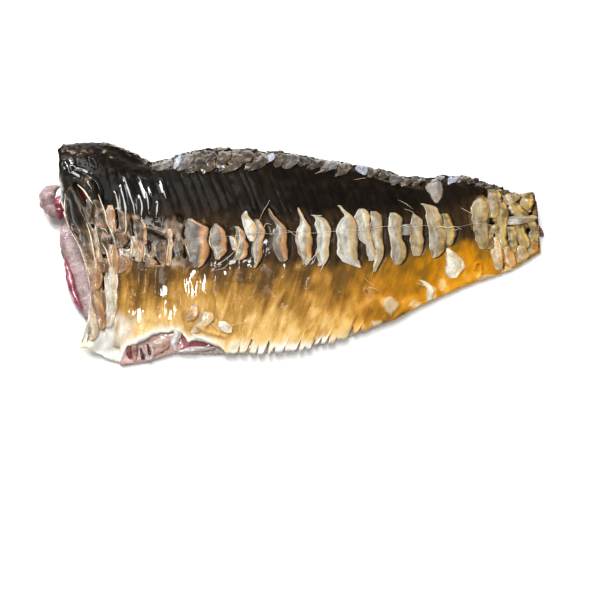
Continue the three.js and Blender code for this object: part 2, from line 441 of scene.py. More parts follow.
def membraneFinish(name, low, raised, meet, fibres, patches=0, rim=0.85, shine=0.5):
    f = Finish(name, 206, 192, 164)
    across, tone, shade, edge = f.attributes("across", "tone", "shade", "edge")
    leaf, cloud, paper = f.along("leaf"), f.noise(170, 2, 0.5), f.noise(1100, 3, 0.6)
    fibre = f.grain(leaf, fibres, 3, 0.55, 0.8)
    wander = f.grain(leaf, (0.2, 4, 1), 1, 0.5)
    stain = f.grain(leaf, (1.8, 4.5, 3.3), 2, 0.6, 0.6)
    tone = tone + (stain - 0.5) * (1.5 - tone * 1.1)
    place = across + (wander - 0.5) * 0.5 + (fibre - 0.5) * 0.2
    colour = f.mix(place.between(meet - 0.08, meet + 0.08), f.ramp(tone, *low), f.ramp(tone, *raised))
    colour = f.stain(place.between(0.35, 0.0) * 0.4, colour, (176, 158, 138))
    # painted highlight lines along the fibres, and a pale rim at the left edge, mixed in white
    white = (fibre.between(0.54, 0.68) * 0.4 + edge.between(0.1, 0.45) * 0.3) * (1 - across)
    white = white * (tone.between(0.1, 0.55) * (1 - tone.between(0.6, 0.9) * 0.4) * 0.9 + 0.1)
    colour = f.mix(white, colour, (250, 248, 242))
    dark = tone.between(0.7, 0.9) * patches
    # darker brown towards the right edge: painted shade on the side away from the light and in the gaps
    # between leaves
    colour = f.stain((place + dark * 0.12).between(0.86, 1.04) * rim, colour, (112, 76, 42))
    colour = f.stain(fibre.between(0.5, 0.34) * 0.4, colour, (164, 136, 104))
    colour = f.stain(cloud.between(0.57, 0.36) * (dark * 0.5 + 0.3), colour, (112, 84, 54))
    colour = f.stain(paper.between(0.62, 0.4) * 0.26, colour, (150, 130, 108))
    # painted shade in the crease along the lateral line's thread
    colour = f.stain(shade, colour, (110, 88, 66))
    worn = (edge * (1 + (cloud - 0.5) * 1.1 + (paper - 0.5) * 0.5)).between(1.02, 0.5)
    return f.close(Base_Color=colour, Roughness=0.42, Coat_Weight=tone * 0.25 + 0.15, Coat_Roughness=0.09,
                   Alpha=worn, Specular_IOR_Level=shine,
                   Normal=f.bump((paper, 0.16, 0.0004), (fibre, 0.3, 0.0006)))


def dorsalFinish():
    f = Finish("dorsalPocket", 98, 90, 78)
    edge, tone, shade = f.attributes("edge", "tone", "shade")
    fibre = f.grain(f.along("leaf"), (5, 5, 1), 4, 0.65, 1.2)
    paper, cloud = f.noise(420, 4, 0.7), f.noise(230, 2, 0.5)
    grey = f.ramp(fibre * 0.3 + paper * 0.25 + cloud * 0.45, (0.38, 14, 10, 6), (0.46, 48, 37, 23),
                  (0.54, 78, 64, 44), (0.64, 160, 147, 124))
    colour = f.stain(tone.between(0.6, 0), grey, (112, 84, 56))
    colour = f.mix(edge * fibre.between(0.4, 0.6) * 0.5, colour, (172, 142, 100))
    # painted bluish shine on some pockets
    colour = f.mix(shade * 0.85, colour, f.ramp(fibre, (0.35, 112, 120, 146), (0.6, 206, 212, 224)))
    worn = (edge * (1 + (paper - 0.5) * 2 + (cloud - 0.5) * 2.4)).between(0.95, 0.35)
    return f.close(Base_Color=colour, Roughness=0.4, Coat_Weight=0.8, Coat_Roughness=0.06, Coat_IOR=1.36,
                   Specular_IOR_Level=0.25, Alpha=worn,
                   Normal=f.bump((paper, 0.6, 0.0008), (fibre, 0.7, 0.001)))


def threadFinish():
    f = Finish("membraneThread", 220, 206, 180)
    colour = f.mix(f.noise(300, 2).between(0.35, 0.65), (238, 230, 216), (214, 186, 144))
    return f.close(Base_Color=colour, Roughness=0.35, Coat_Weight=0.5, Coat_Roughness=0.1,
                   Subsurface_Weight=0.2, Subsurface_Scale=0.001)


def wallFinish():
    f = Finish("bellyWall", 190, 146, 140)
    layers = f.grain(f.along("leaf"), (5, 9, 1), 4, 0.6, 1.4)
    colour = f.ramp(f.attributes("tone")[0] + (layers - 0.5) * 0.9, (0, 214, 178, 164), (0.3, 188, 138, 130),
                    (0.6, 158, 70, 80), (0.85, 108, 32, 40), (1, 62, 22, 26))
    return f.close(Base_Color=colour, Roughness=0.38, Coat_Weight=0.7, Coat_Roughness=0.1,
                   Normal=f.bump((layers, 0.6, 0.0008)), Subsurface_Weight=0.15, Subsurface_Radius=fleshGlow,
                   Subsurface_Scale=0.002)


def fasciaFinish():
    f = Finish("paleFlesh", 190, 158, 160)
    streaks, specks = f.noise(170, 4, 0.65, 1.2), f.noise(1100, 3, 0.6)
    colour = f.ramp(streaks * 0.6 + specks * 0.4, (0.36, 116, 82, 86), (0.5, 146, 120, 122),
                    (0.6, 172, 152, 150), (0.7, 214, 202, 198))
    return f.close(Base_Color=colour, Roughness=0.5, Coat_Weight=specks.between(0.5, 0.7) * 0.7,
                   Coat_Roughness=0.1, Normal=f.bump((streaks, 0.6, 0.001), (specks, 0.35, 0.0004)),
                   Subsurface_Weight=0.2, Subsurface_Radius=fleshGlow, Subsurface_Scale=0.002)


def darkFleshFinish():
    f = Finish("darkFlesh", 128, 44, 64)
    blotches = f.noise(220, 4, 0.65, 0.8)
    colour = f.ramp(blotches, (0.32, 88, 22, 38), (0.52, 134, 48, 68), (0.72, 186, 108, 122))
    return f.close(Base_Color=colour, Roughness=0.35, Coat_Weight=0.9, Coat_Roughness=0.08,
                   Normal=f.bump((blotches, 0.5, 0.0008)), Subsurface_Weight=0.15,
                   Subsurface_Radius=(1, 0.25, 0.2), Subsurface_Scale=0.002)


def floorFinish():
    f = Finish("paleBoard", 250, 250, 250)
    return f.close(Base_Color=f.mix(f.noise(3, 2), (250, 250, 250), (253, 253, 253)), Roughness=0.7)


finishes = {key: membraneFinish(**look) for key, look in membraneLooks.items()}
finishes.update(skin=skinFinish(), flesh=fleshFinish(), dorsal=dorsalFinish(), thread=threadFinish(),
                fascia=fasciaFinish(), darkFlesh=darkFleshFinish(), wall=wallFinish(), floor=floorFinish())

print("stage: view and guide surface")

# The camera in millimetres: what it looks at, from how far and how steeply, and the frame in pixels
view = {"target": (5.42, -31.12, 0), "distance": 504, "steepness": 58, "lens": 60, "sensor": 36, "frame": 600}

steep = math.radians(view["steepness"])
eye = np.array(view["target"]) + view["distance"] * np.array([0, -math.cos(steep), math.sin(steep)])
pixelReach = view["sensor"] / view["lens"] / view["frame"]
pixelWide, pixelTall = 0.504, 0.61  # millimetres of the board that a pixel spans, across and up
guideSize = {"along": 161, "across": 90, "missHeight": 9.0}  # its points, and the height taken beside it


def sightLine(px, py):  # direction from the camera through a point of the frame
    px, py = np.broadcast_arrays(np.asarray(px, float), np.asarray(py, float))
    across, up = (px - view["frame"] / 2) * pixelReach, (view["frame"] / 2 - py) * pixelReach
    return np.stack([across, math.cos(steep) + up * math.sin(steep),
                     up * math.cos(steep) - math.sin(steep)], -1)


def seenAtHeight(px, py, z):
    line = sightLine(px, py)
    return eye + line * ((np.asarray(z, float) - eye[2]) / line[..., 2])[..., None]


def cutsAt(x, y):  # share of the length and place across that carry a point of the plan
    x, y = x - shift[0], y - shift[1]
    share = np.clip((x - fish["headEnd"]) / fishLength, 0, 1)
    for n in range(8):
        share = np.clip(share - (cutLineX(share, y) - x) / fishLength, 0, 1)
    belly, back = edgeOf(fish["bellyEdge"], share), edgeOf(fish["backEdge"], share)
    return share, np.interp((y - belly) / (back - belly), widthTable, evenly)


def acrossRows(count, wide=112, thick=18):  # places across the skin, evenly spaced along a slice of this size
    table = np.linspace(0, 1, 2000)
    arc = np.hypot(np.diff(curve(sectionAt, sectionWidth, table)) * wide,
                   np.diff(curve(sectionAt, sectionRise, table)) * thick)
    arc = np.concatenate([[0], np.cumsum(arc)])
    return np.interp(np.linspace(0, arc[-1], count), arc, table), arc[-1]


def normalsOf(points):
    normal = np.cross(np.gradient(points, axis=0), np.gradient(points, axis=1))
    return normal / (np.linalg.norm(normal, axis=-1)[..., None] + 1e-9)


def guideSurface():
    along, wide = guideSize["along"], guideSize["across"]
    share, across = np.meshgrid(np.linspace(0, 1, along), acrossRows(wide)[0], indexing="ij")
    points, faces = skinPoint(share, across), gridFaces(along, wide)
    out, points = normalsOf(points).reshape(-1, 3), points.reshape(-1, 3)
    guide = meshObject("plainSkin", points, faces, {"out": out}, np.stack([share, across], -1).reshape(-1, 2))
    return guide, BVHTree.FromPolygons(points.tolist(), faces)


plainSkin, skinTree = guideSurface()


def seenOnSkin(px, py):  # points of the plain skin under points of the frame
    lines, start = sightLine(px, py), Vector(eye)
    points = []
    for line, low in zip(lines.reshape(-1, 3), seenAtHeight(px, py, guideSize["missHeight"]).reshape(-1, 3)):
        hit = skinTree.ray_cast(start, Vector(line).normalized())[0]
        points.append(hit or skinTree.find_nearest(Vector(low))[0])
    return np.array(points).reshape(lines.shape)


def seenSpots(spots, x, y):  # 1 at the middle and 0 at the rim of ovals that are given as seen
    field = 0 * x - 9
    for px, py, wide, tall, lean in spots:
        spot = seenOnSkin(px, py)
        away = (y - spot[1]) / (pixelTall * tall)
        beside = (x - spot[0]) / (pixelWide * wide) + away * lean / wide
        field = np.maximum(field, 1 - beside**2 - away**2)
    return field


def seenPaths(paths, x, y):  # the field of paths that are given as seen
    onSkin = [(width, *seenOnSkin(*np.array(points, float).T)[:, :2]) for width, *points in paths]
    return pathField(onSkin, x, y)


def outlineAt(stations, v):  # y, left and right of a leaf that is given as seen, at shares from its top down
    ys, lefts, rights = np.array(stations, float).T
    y = ys[0] + (ys[-1] - ys[0]) * v
    return y, curve(ys, lefts, y), curve(ys, rights, y)


# Scale pockets along the lateral line as seen: tone from grey to yellow, then (y, left, right) downwards
lateralPockets = [
    (0.0, (218, 188.6, 190), (221, 188.2, 195.5), (224, 187.6, 202), (227.5, 186.5, 207.5),
     (233, 185.3, 208), (242, 186.3, 207.5), (251, 186.3, 208.5), (258, 188.3, 207), (264, 191.5, 203.5),
     (268, 195, 198.5)),
    (0.12, (223, 214.8, 216), (226, 213, 219.5), (229, 211.3, 223.5), (234, 209.6, 226), (240, 209.3, 227),
     (246, 210.3, 226.5), (251, 213.8, 226), (256, 215.3, 222), (259.5, 216.3, 218.5)),
    (0.4, (236, 231, 232.5), (240, 231, 236), (246, 232, 237), (250, 234, 237)),
    (0.24, (226, 236, 238), (231, 237, 243), (237, 235, 246), (243, 233, 247), (250, 235, 248),
     (256, 235, 247), (260, 234, 240)),
    (0.5, (211, 245, 247), (216, 243, 249), (222, 243, 255), (229, 244, 257), (236, 247, 257),
     (241, 250, 254)),
    (0.25, (219, 256, 258), (225, 256, 262), (232, 257, 265), (238, 256, 264), (243, 253, 261),
     (249, 252, 262), (256, 253, 261), (262, 255, 259), (268, 253, 255)),
    (0.14, (209, 268.6, 269.4), (215, 271, 272.5), (221, 274, 278), (226, 276, 284), (232, 275, 287),
     (238, 273.5, 287.5), (245, 273, 287), (252, 274, 288), (258, 278, 287), (262, 280, 284)),
    (0.4, (208, 298, 298.8), (214, 299.5, 301.5), (220, 300, 304), (227, 299, 309), (234, 297, 311.5),
     (241, 296.6, 312), (248, 298, 312), (255, 300, 312), (261, 303, 310), (265, 304, 307)),
    (0.47, (215, 311, 312), (217, 315, 322), (222, 315, 328), (229, 316, 330.5), (236, 317, 330.5),
     (243, 318, 329), (250, 317, 329), (257, 317.5, 328), (263, 319, 325), (266, 319, 321)),
    (0.55, (205, 338.5, 339.5), (210, 342, 344.5), (215, 345, 352), (220, 341, 356), (227, 338, 358),
     (234, 336.5, 358), (241, 338, 358.5), (248, 338, 357.5), (254, 337.5, 358), (259, 341, 358),
     (262, 345, 360), (268, 359, 361.5)),
    (0.52, (208.5, 360, 364), (213, 357, 369), (220, 355.5, 369), (228, 357, 370), (235, 359, 371),
     (241, 361, 372), (243, 366.5, 373), (250, 367, 374), (257, 368, 374), (261, 370, 373)),
    (0.7, (211.5, 372, 376), (216, 371, 381), (224, 371, 382), (232, 371, 382), (240, 372, 382),
     (248, 373, 383), (256, 374, 383), (262, 374, 380), (268, 374, 377), (272, 373.7, 374.7)),
    (0.68, (213, 391, 396), (218, 389.5, 401), (225, 388.6, 402), (233, 389, 401), (238, 390.5, 402),
     (245, 391, 405), (252, 391, 406), (259, 393, 405), (264.5, 396, 400)),
    (0.72, (213.7, 413, 414), (217, 412, 419), (223, 411, 423), (229, 410.5, 423), (233, 411, 423),
     (240, 411, 424), (248, 412, 422.5), (254, 414, 420), (256, 415, 418)),
    (0.72, (203, 420.8, 422), (206, 424, 434), (211, 426.5, 438), (218, 427, 442), (225, 429, 443),
     (230, 429, 446), (236, 429.5, 446), (243, 430, 446), (250, 431, 444), (255, 433, 440),
     (258, 433.5, 435)),
    (0.88, (213.5, 443, 447), (218, 442, 451), (224, 443, 453), (229, 444, 456), (236, 445, 455.5),
     (242, 446, 453), (246, 446, 449)),
    (0.8, (199, 477, 482), (204, 474, 487), (211, 471.5, 489), (218, 472, 489), (225, 474, 489),
     (229, 474.5, 488), (235, 475, 489), (241, 477, 489), (246, 480, 487), (248.5, 482, 484)),
    (0.92, (203, 499, 504), (209, 497, 507), (217, 496.5, 507.5), (225, 497, 507), (232, 496, 506.5),
     (240, 497, 506), (246, 498, 505), (249.5, 500, 503)),
    (0.95, (227, 507, 514), (235, 509, 515), (243, 509, 516), (249, 510, 516.5), (253, 512, 515)),
    (0.97, (226, 516, 522), (233, 518, 525), (240, 519, 528), (246, 520, 528.5), (251, 523, 527)),
    (0.85, (219, 527, 534), (226, 529.5, 536.5), (234, 531, 537.5), (240, 531, 537.5), (245, 533, 537)),
    (1.0, (203, 510, 516), (208, 511.5, 523), (213, 513, 528), (219, 518, 529)),
    (0.95, (195, 524, 531), (201, 521.5, 533), (207, 522, 532), (212, 526, 530)),
    (0.66, (215.5, 521, 534), (218, 509, 536), (221.5, 507, 535), (225, 507, 518)),
    (0.86, (184, 492, 497), (190, 490, 500), (197, 490, 501), (203, 491, 499)),
    (0.9, (187, 503, 507), (192, 502, 511), (198, 503, 510)),
    (0.95, (234, 489, 492), (241, 485, 493), (249, 484, 491)),
    (0.8, (198, 489, 494), (204, 487, 498), (211, 488, 498), (218, 489, 496)),
    (0.8, (225, 489, 496), (229, 488.5, 498), (234, 489, 496)),
    (0.75, (192.5, 512, 518), (196, 507, 519), (200, 505, 517), (205, 506, 511)),
    (0.9, (191, 530, 537), (193.5, 519, 537.5), (197, 517, 527)),
]

# Flat scraps of membrane, the same way
scraps = [
    (0.0, (224, 402, 412), (229, 401, 412), (235, 401, 412)),
    (0.05, (181, 432, 437), (185, 426, 442), (190, 427, 443), (196, 431, 442.5), (201, 434.5, 439),
     (203, 436, 438)),
    (0.1, (193.5, 490, 494), (198, 488.5, 499), (204, 490, 498.5), (207, 492, 496)),
    (1.0, (248, 446, 449), (252, 446, 454), (256, 446, 460), (261, 445, 464), (266, 444.5, 466),
     (271, 445, 463), (275, 447, 460), (279, 450, 457)),
    (1.0, (279.5, 419, 421), (284, 423, 430), (290, 427, 433.5), (296, 427, 433), (300.5, 429, 432)),
    (0.72, (311, 203, 210), (315, 201, 214), (320, 199, 214), (325, 196, 209), (330, 191, 203),
     (333.5, 188, 196)),
    (0.4, (304, 194, 197), (308, 190, 199), (313, 187.5, 199), (318, 186.5, 197), (321, 188, 193)),
    (1.0, (321, 219, 225), (326, 218.5, 232), (331, 222, 233), (333, 228, 232)),
    (0.66, (236, 492, 496), (242, 491, 499.5), (250, 491.5, 501.5), (258, 492.5, 502), (265, 494.5, 501.5),
     (271, 497, 500)),
    (0.56, (246, 505, 508), (252, 504.5, 512), (258, 505.5, 515.5), (264, 508, 516.5), (267.5, 511, 514)),
    (0.66, (246, 518, 521), (251, 516.5, 525), (256, 516.5, 529), (260, 517, 526), (263, 518, 521)),
    (0.56, (240, 531, 536), (245, 527, 537.5), (250, 526.5, 537), (255, 527, 532)),
]

# Folds of the translucent skin at the head end, the same way
headFolds = [
    (0.06, (190, 66, 72), (198, 65.3, 77), (206, 65.3, 80.5), (214, 65.8, 84), (222, 67.5, 87),
     (230, 71, 89.5), (239, 76, 91)),
    (0.5, (224, 71, 84), (231, 73, 90), (240, 77, 92.5), (248, 80, 94.5), (256, 83, 96), (263, 86, 96)),
    (0.8, (256, 85, 95), (264, 87, 99.5), (272, 87.6, 101.5), (280, 87, 101.5), (287, 87.6, 100),
     (293, 91, 96)),
    (0.36, (197, 88, 90.5), (206, 88, 93.5), (215, 88.5, 94.5), (225, 90, 95)),
    (0.44, (200, 93.5, 97), (208, 92.5, 104.5), (216, 93, 106), (224, 95, 107.5), (232, 97, 108)),
    (0.82, (205, 109, 111.5), (211, 106.5, 114.5), (218, 106.3, 115), (225, 108.3, 115.2),
     (233, 111, 115)),
    (0.5, (225, 96, 103), (233, 97, 108.5), (240, 99, 110), (247, 101, 109.5), (254, 103, 107)),
    (0.5, (211, 119, 122), (218, 118.5, 126.5), (226, 119, 127), (235, 120.5, 126.5)),
    (0.46, (229, 110, 119), (235, 111.5, 127), (241, 114, 127), (248, 116, 122)),
    (0.44, (218, 135, 139), (226, 134.5, 143), (234, 135, 144), (242, 137, 143.5)),
    (0.82, (220, 140, 142), (228, 140.3, 146.5), (236, 140.8, 147), (244, 142, 145.5)),
    (0.92, (236, 131.5, 135), (243, 131.3, 138), (250, 131.3, 137), (257, 131.5, 134)),
    (0.82, (240, 137, 140), (248, 136.8, 143), (255, 136.2, 143), (262, 137, 140.5)),
    (0.24, (228, 147, 149), (233, 147, 160), (238, 149, 166.5), (244, 154, 167)),
    (0.46, (239, 158, 166), (247, 155.5, 168), (255, 156.5, 168.5), (263, 160, 167)),
    (0.84, (228, 169, 171), (238, 167.7, 172), (247, 167, 172.5), (256, 166, 172), (266, 167.5, 170.5)),
    (0.44, (239, 175, 180), (247, 174.6, 182.5), (254, 175, 183), (261, 176.5, 180.5)),
    (0.8, (244, 108.5, 113.5), (254, 108.5, 118), (262, 109.3, 118.5), (270, 111.3, 118),
     (277, 113, 116.5)),
    (0.72, (256, 118, 123), (262, 118.3, 130), (267, 118.8, 129), (273, 119, 123)),
    (0.86, (243, 94.3, 97.5), (251, 95, 101), (258, 96, 102), (267, 97.3, 100.5)),
    (0.56, (258, 102, 105.5), (265, 102.4, 108.5), (273, 103.5, 107.5)),
    (1.0, (266, 108, 114), (278, 105.3, 117.5), (290, 105.5, 117.8), (300, 106.3, 117.3),
     (310, 106.8, 116.5), (320, 106.3, 114.5), (328, 107.5, 112)),
    (0.76, (290, 92, 96), (298, 91, 101), (306, 92, 104), (314, 94, 106), (323, 96, 106.5),
     (330, 98, 104)),
    (0.95, (304, 88.5, 91), (314, 86.5, 95), (324, 85.5, 97), (333, 85, 99), (341, 85, 94)),
    (0.7, (259, 147, 152), (263, 146, 157), (267, 148, 154)),
]

# The pink wall of the belly in the torn opening and the pale strips on it, as seen: tone, height in
# millimetres at the top and at the bottom, then (y, left, right)
wallSheets = [
    (0.12, 5.6, 1.2, (326, 156, 182), (333, 145, 188), (339, 136, 197), (344, 129, 200), (348, 125.5, 192),
     (352, 123, 174), (357, 121.5, 159), (361, 120.5, 147), (364.5, 120, 125)),
    (0.62, 5.2, 2.8, (334, 181, 190), (338, 179, 206), (342, 177.5, 216), (346, 176.5, 218),
     (349.5, 176, 194)),
    (0.8, 4.4, 2.4, (347, 128, 131), (351, 126, 132), (355, 126.5, 132), (358, 128, 131)),
    (0.95, 4.4, 2.4, (348, 139.5, 142), (353, 140, 144), (359, 141, 145)),
    (1.0, 5.0, 3.6, (344, 146.5, 148.5), (349, 147.5, 150), (354, 148.5, 151)),
]
wallStrips = [
    (1.0, 7.0, 2.4, (331, 175, 181), (336, 171, 181.5), (341, 170, 179), (346, 171.5, 177.5),
     (352, 173.5, 178.5)),
    (0.55, 5.4, 1.8, (338, 159, 171), (342, 152.5, 171), (346, 149.5, 170.5), (350, 151, 166),
     (355, 150, 158), (360.5, 148, 151.5)),
    (0.8, 5.2, 1.6, (345.5, 139, 143), (351, 141.5, 146.5), (356, 144, 149.5), (361, 145, 152.5)),
    (0.3, 5.0, 1.4, (345, 131.5, 137), (352, 132.5, 138.5), (362, 131.5, 138)),
    (1.0, 4.2, 3.0, (346.5, 192, 217), (349, 183, 215), (351.5, 176, 203)),
]
tailScraps = [
    (0.4, 2.4, 1.2, (223, 530, 536.5), (227, 532, 540.5), (231, 534.5, 543.5), (235.5, 538, 543.5)),
]

print("stage: skin")

skinRelief = {}  # the skin's own relief, kept for what lies on it
skinSheet = {
    "rows": 176,                    # points from the belly's edge to the back
    "sliceColumns": (0, 0.05, 0.14, 0.26, 0.4, 0.54, 0.68, 0.8, 0.9, 0.96),
    "underRows": 14, "thickness": 1.3,
    # Slits in the belly's edge as seen: x, half the width at the edge and how deep they run
    "slits": [(237.5, 1.3, 5), (247, 2.2, 11), (256, 1.3, 7), (265, 2.6, 10), (272, 1.4, 8), (283, 1.2, 4),
              (297, 1.5, 10), (304, 1.2, 4), (311, 1.6, 7), (318, 1.4, 6), (326, 1.6, 7), (335, 1.3, 4),
              (348.5, 2.6, 10), (358, 1.4, 5), (371, 1.2, 3), (388, 1.4, 4)],
    "slitsSeenAt": 350,             # how far down the frame that edge is
    "tabsUneven": 1.8,              # how far the tabs between the slits differ in length
    # The torn opening in that edge, in millimetres: x and how far it is drawn back
    "opening": [(-81, 0), (-80, 1.6), (-79, 2.4), (-76.2, 3.2), (-70.8, 5.6), (-66.6, 8.8), (-62.4, 10.6),
                (-56.4, 11), (-54, 11.3), (-51.6, 9.4), (-49.5, 6.4), (-47.9, 7), (-45, 7.2), (-41, 6.6),
                (-36.1, 4.9), (-33, 3.4), (-31.2, 1.4), (-30, 0)],
    "cornerFlap": (-81.2, 11, 1.7, 4.9, 2.5),  # x, reach to the left and right, how far it hangs and spreads
    # Along the fish, in millimetres: x and the measure there
    "ribHeight": [(-125, 0.12), (-95, 0.16), (-62, 0.24), (-45, 0.2), (0, 0.12), (60, 0.12), (130, 0.1)],
    "rippleHeight": [(-125, 0.5), (-60, 0.5), (-30, 0.36), (130, 0.25)],
    "goldEdge": [(-125, -11), (-60, -13.5), (-20, -12), (20, -10.5), (40, -9), (62, -5), (76, -4), (84, -5),
                 (94, -6), (108, -9), (130, -9)],
    "paleTips": [(-40, 6.4), (-8, 5.6), (10, 3.4), (40, 2.2)],
    "foldHeight": 0.45, "leastRelief": -1.5,
}

# Folds and holes of the skin at the head end, as seen: width in millimetres, then (x, y) along each
skinPaths = {
    "ridges": [
        (1.0, (78, 184), (84, 194), (88, 204), (90, 213)),
        (0.9, (71, 188), (75, 197), (81, 208), (84, 219)),
        (1.1, (76, 171), (88, 177), (97, 185), (101, 197), (103, 207)),
        (1.0, (83, 202), (88, 214), (93, 231), (97, 246), (99, 262)),
        (0.9, (103, 208), (106, 222), (112, 234), (116, 245)),
        (0.8, (116, 210), (117, 222), (120, 233)),
        (0.8, (131, 214), (132, 226), (134, 238), (136, 247)),
        (0.8, (147, 227), (158, 231), (167, 235)),
        (1.0, (92, 252), (95, 264), (96, 280), (98, 296)),
        (0.9, (103, 262), (104, 280), (102, 300), (104, 318)),
        (0.9, (64, 200), (67, 216), (73, 232), (80, 248), (86, 262)),
        (0.7, (474, 270), (476, 264), (480, 265), (481, 272), (479, 278)),
        (0.8, (190.5, 333), (198, 338), (206, 341), (214, 344)),
        (0.9, (196, 327), (204, 331), (214, 334), (226, 337)),
    ],
    "ribs": [
        (1.7, (115.3, 192), (117.3, 204), (118.5, 216)),
        (1.8, (120.8, 185), (123, 196), (125.5, 211), (127, 222)),
        (1.9, (124.3, 178), (129.5, 191), (133.2, 204), (135, 217)),
        (1.7, (139.8, 195), (141.4, 206.5), (141, 220)),
        (1.8, (138.1, 177), (143.5, 187), (147.4, 199), (148.5, 213)),
        (1.6, (144.3, 179), (148.2, 186), (152, 196)),
        (1.7, (158, 202), (156.8, 211), (156, 218)),
        (1.8, (160.1, 180), (163.4, 188), (166, 198)),
        (1.0, (65, 165), (77, 168), (89, 174), (98, 183), (103, 195)),
        (0.8, (66, 173), (75, 175), (85, 180), (92, 189)),
        (0.9, (64, 160), (68, 166), (70, 174)),
    ],
    "slots": [
        (2.0, (75, 184), (79.5, 194), (85, 206)),
        (1.1, (116.6, 213), (116.8, 222), (117.5, 232)),
        (1.4, (131, 218), (131.8, 228), (133, 238)),
        (1.1, (146.5, 232), (148.5, 241), (149.5, 252)),
        (1.6, (104.6, 250), (105, 256), (105.3, 262)),
        (1.0, (133.6, 258), (134.4, 250), (134.6, 244)),
        (1.2, (154, 257), (157, 262), (160, 264)),
        (1.0, (173, 234), (173.4, 246), (173.6, 258)),
        (1.4, (178, 214), (180, 218), (182, 222)),
        (1.2, (184, 226), (184.5, 232), (184, 238)),
        (1.3, (185, 246), (184.6, 252), (185, 258)),
        (1.0, (90.6, 216), (92, 222), (93.6, 229)),
        (1.1, (111.5, 238), (112.3, 243), (113, 248)),
        (1.2, (124, 247), (128.5, 245), (129.6, 238)),
        (1.3, (102.6, 272), (103, 280), (103.4, 290)),
        (1.2, (93, 290), (96, 296), (100, 302)),
    ],
    "blood": [(0.9, (80, 187), (84, 194), (87, 201)), (0.5, (366, 289.5), (366.6, 291.5), (367, 293))],
}

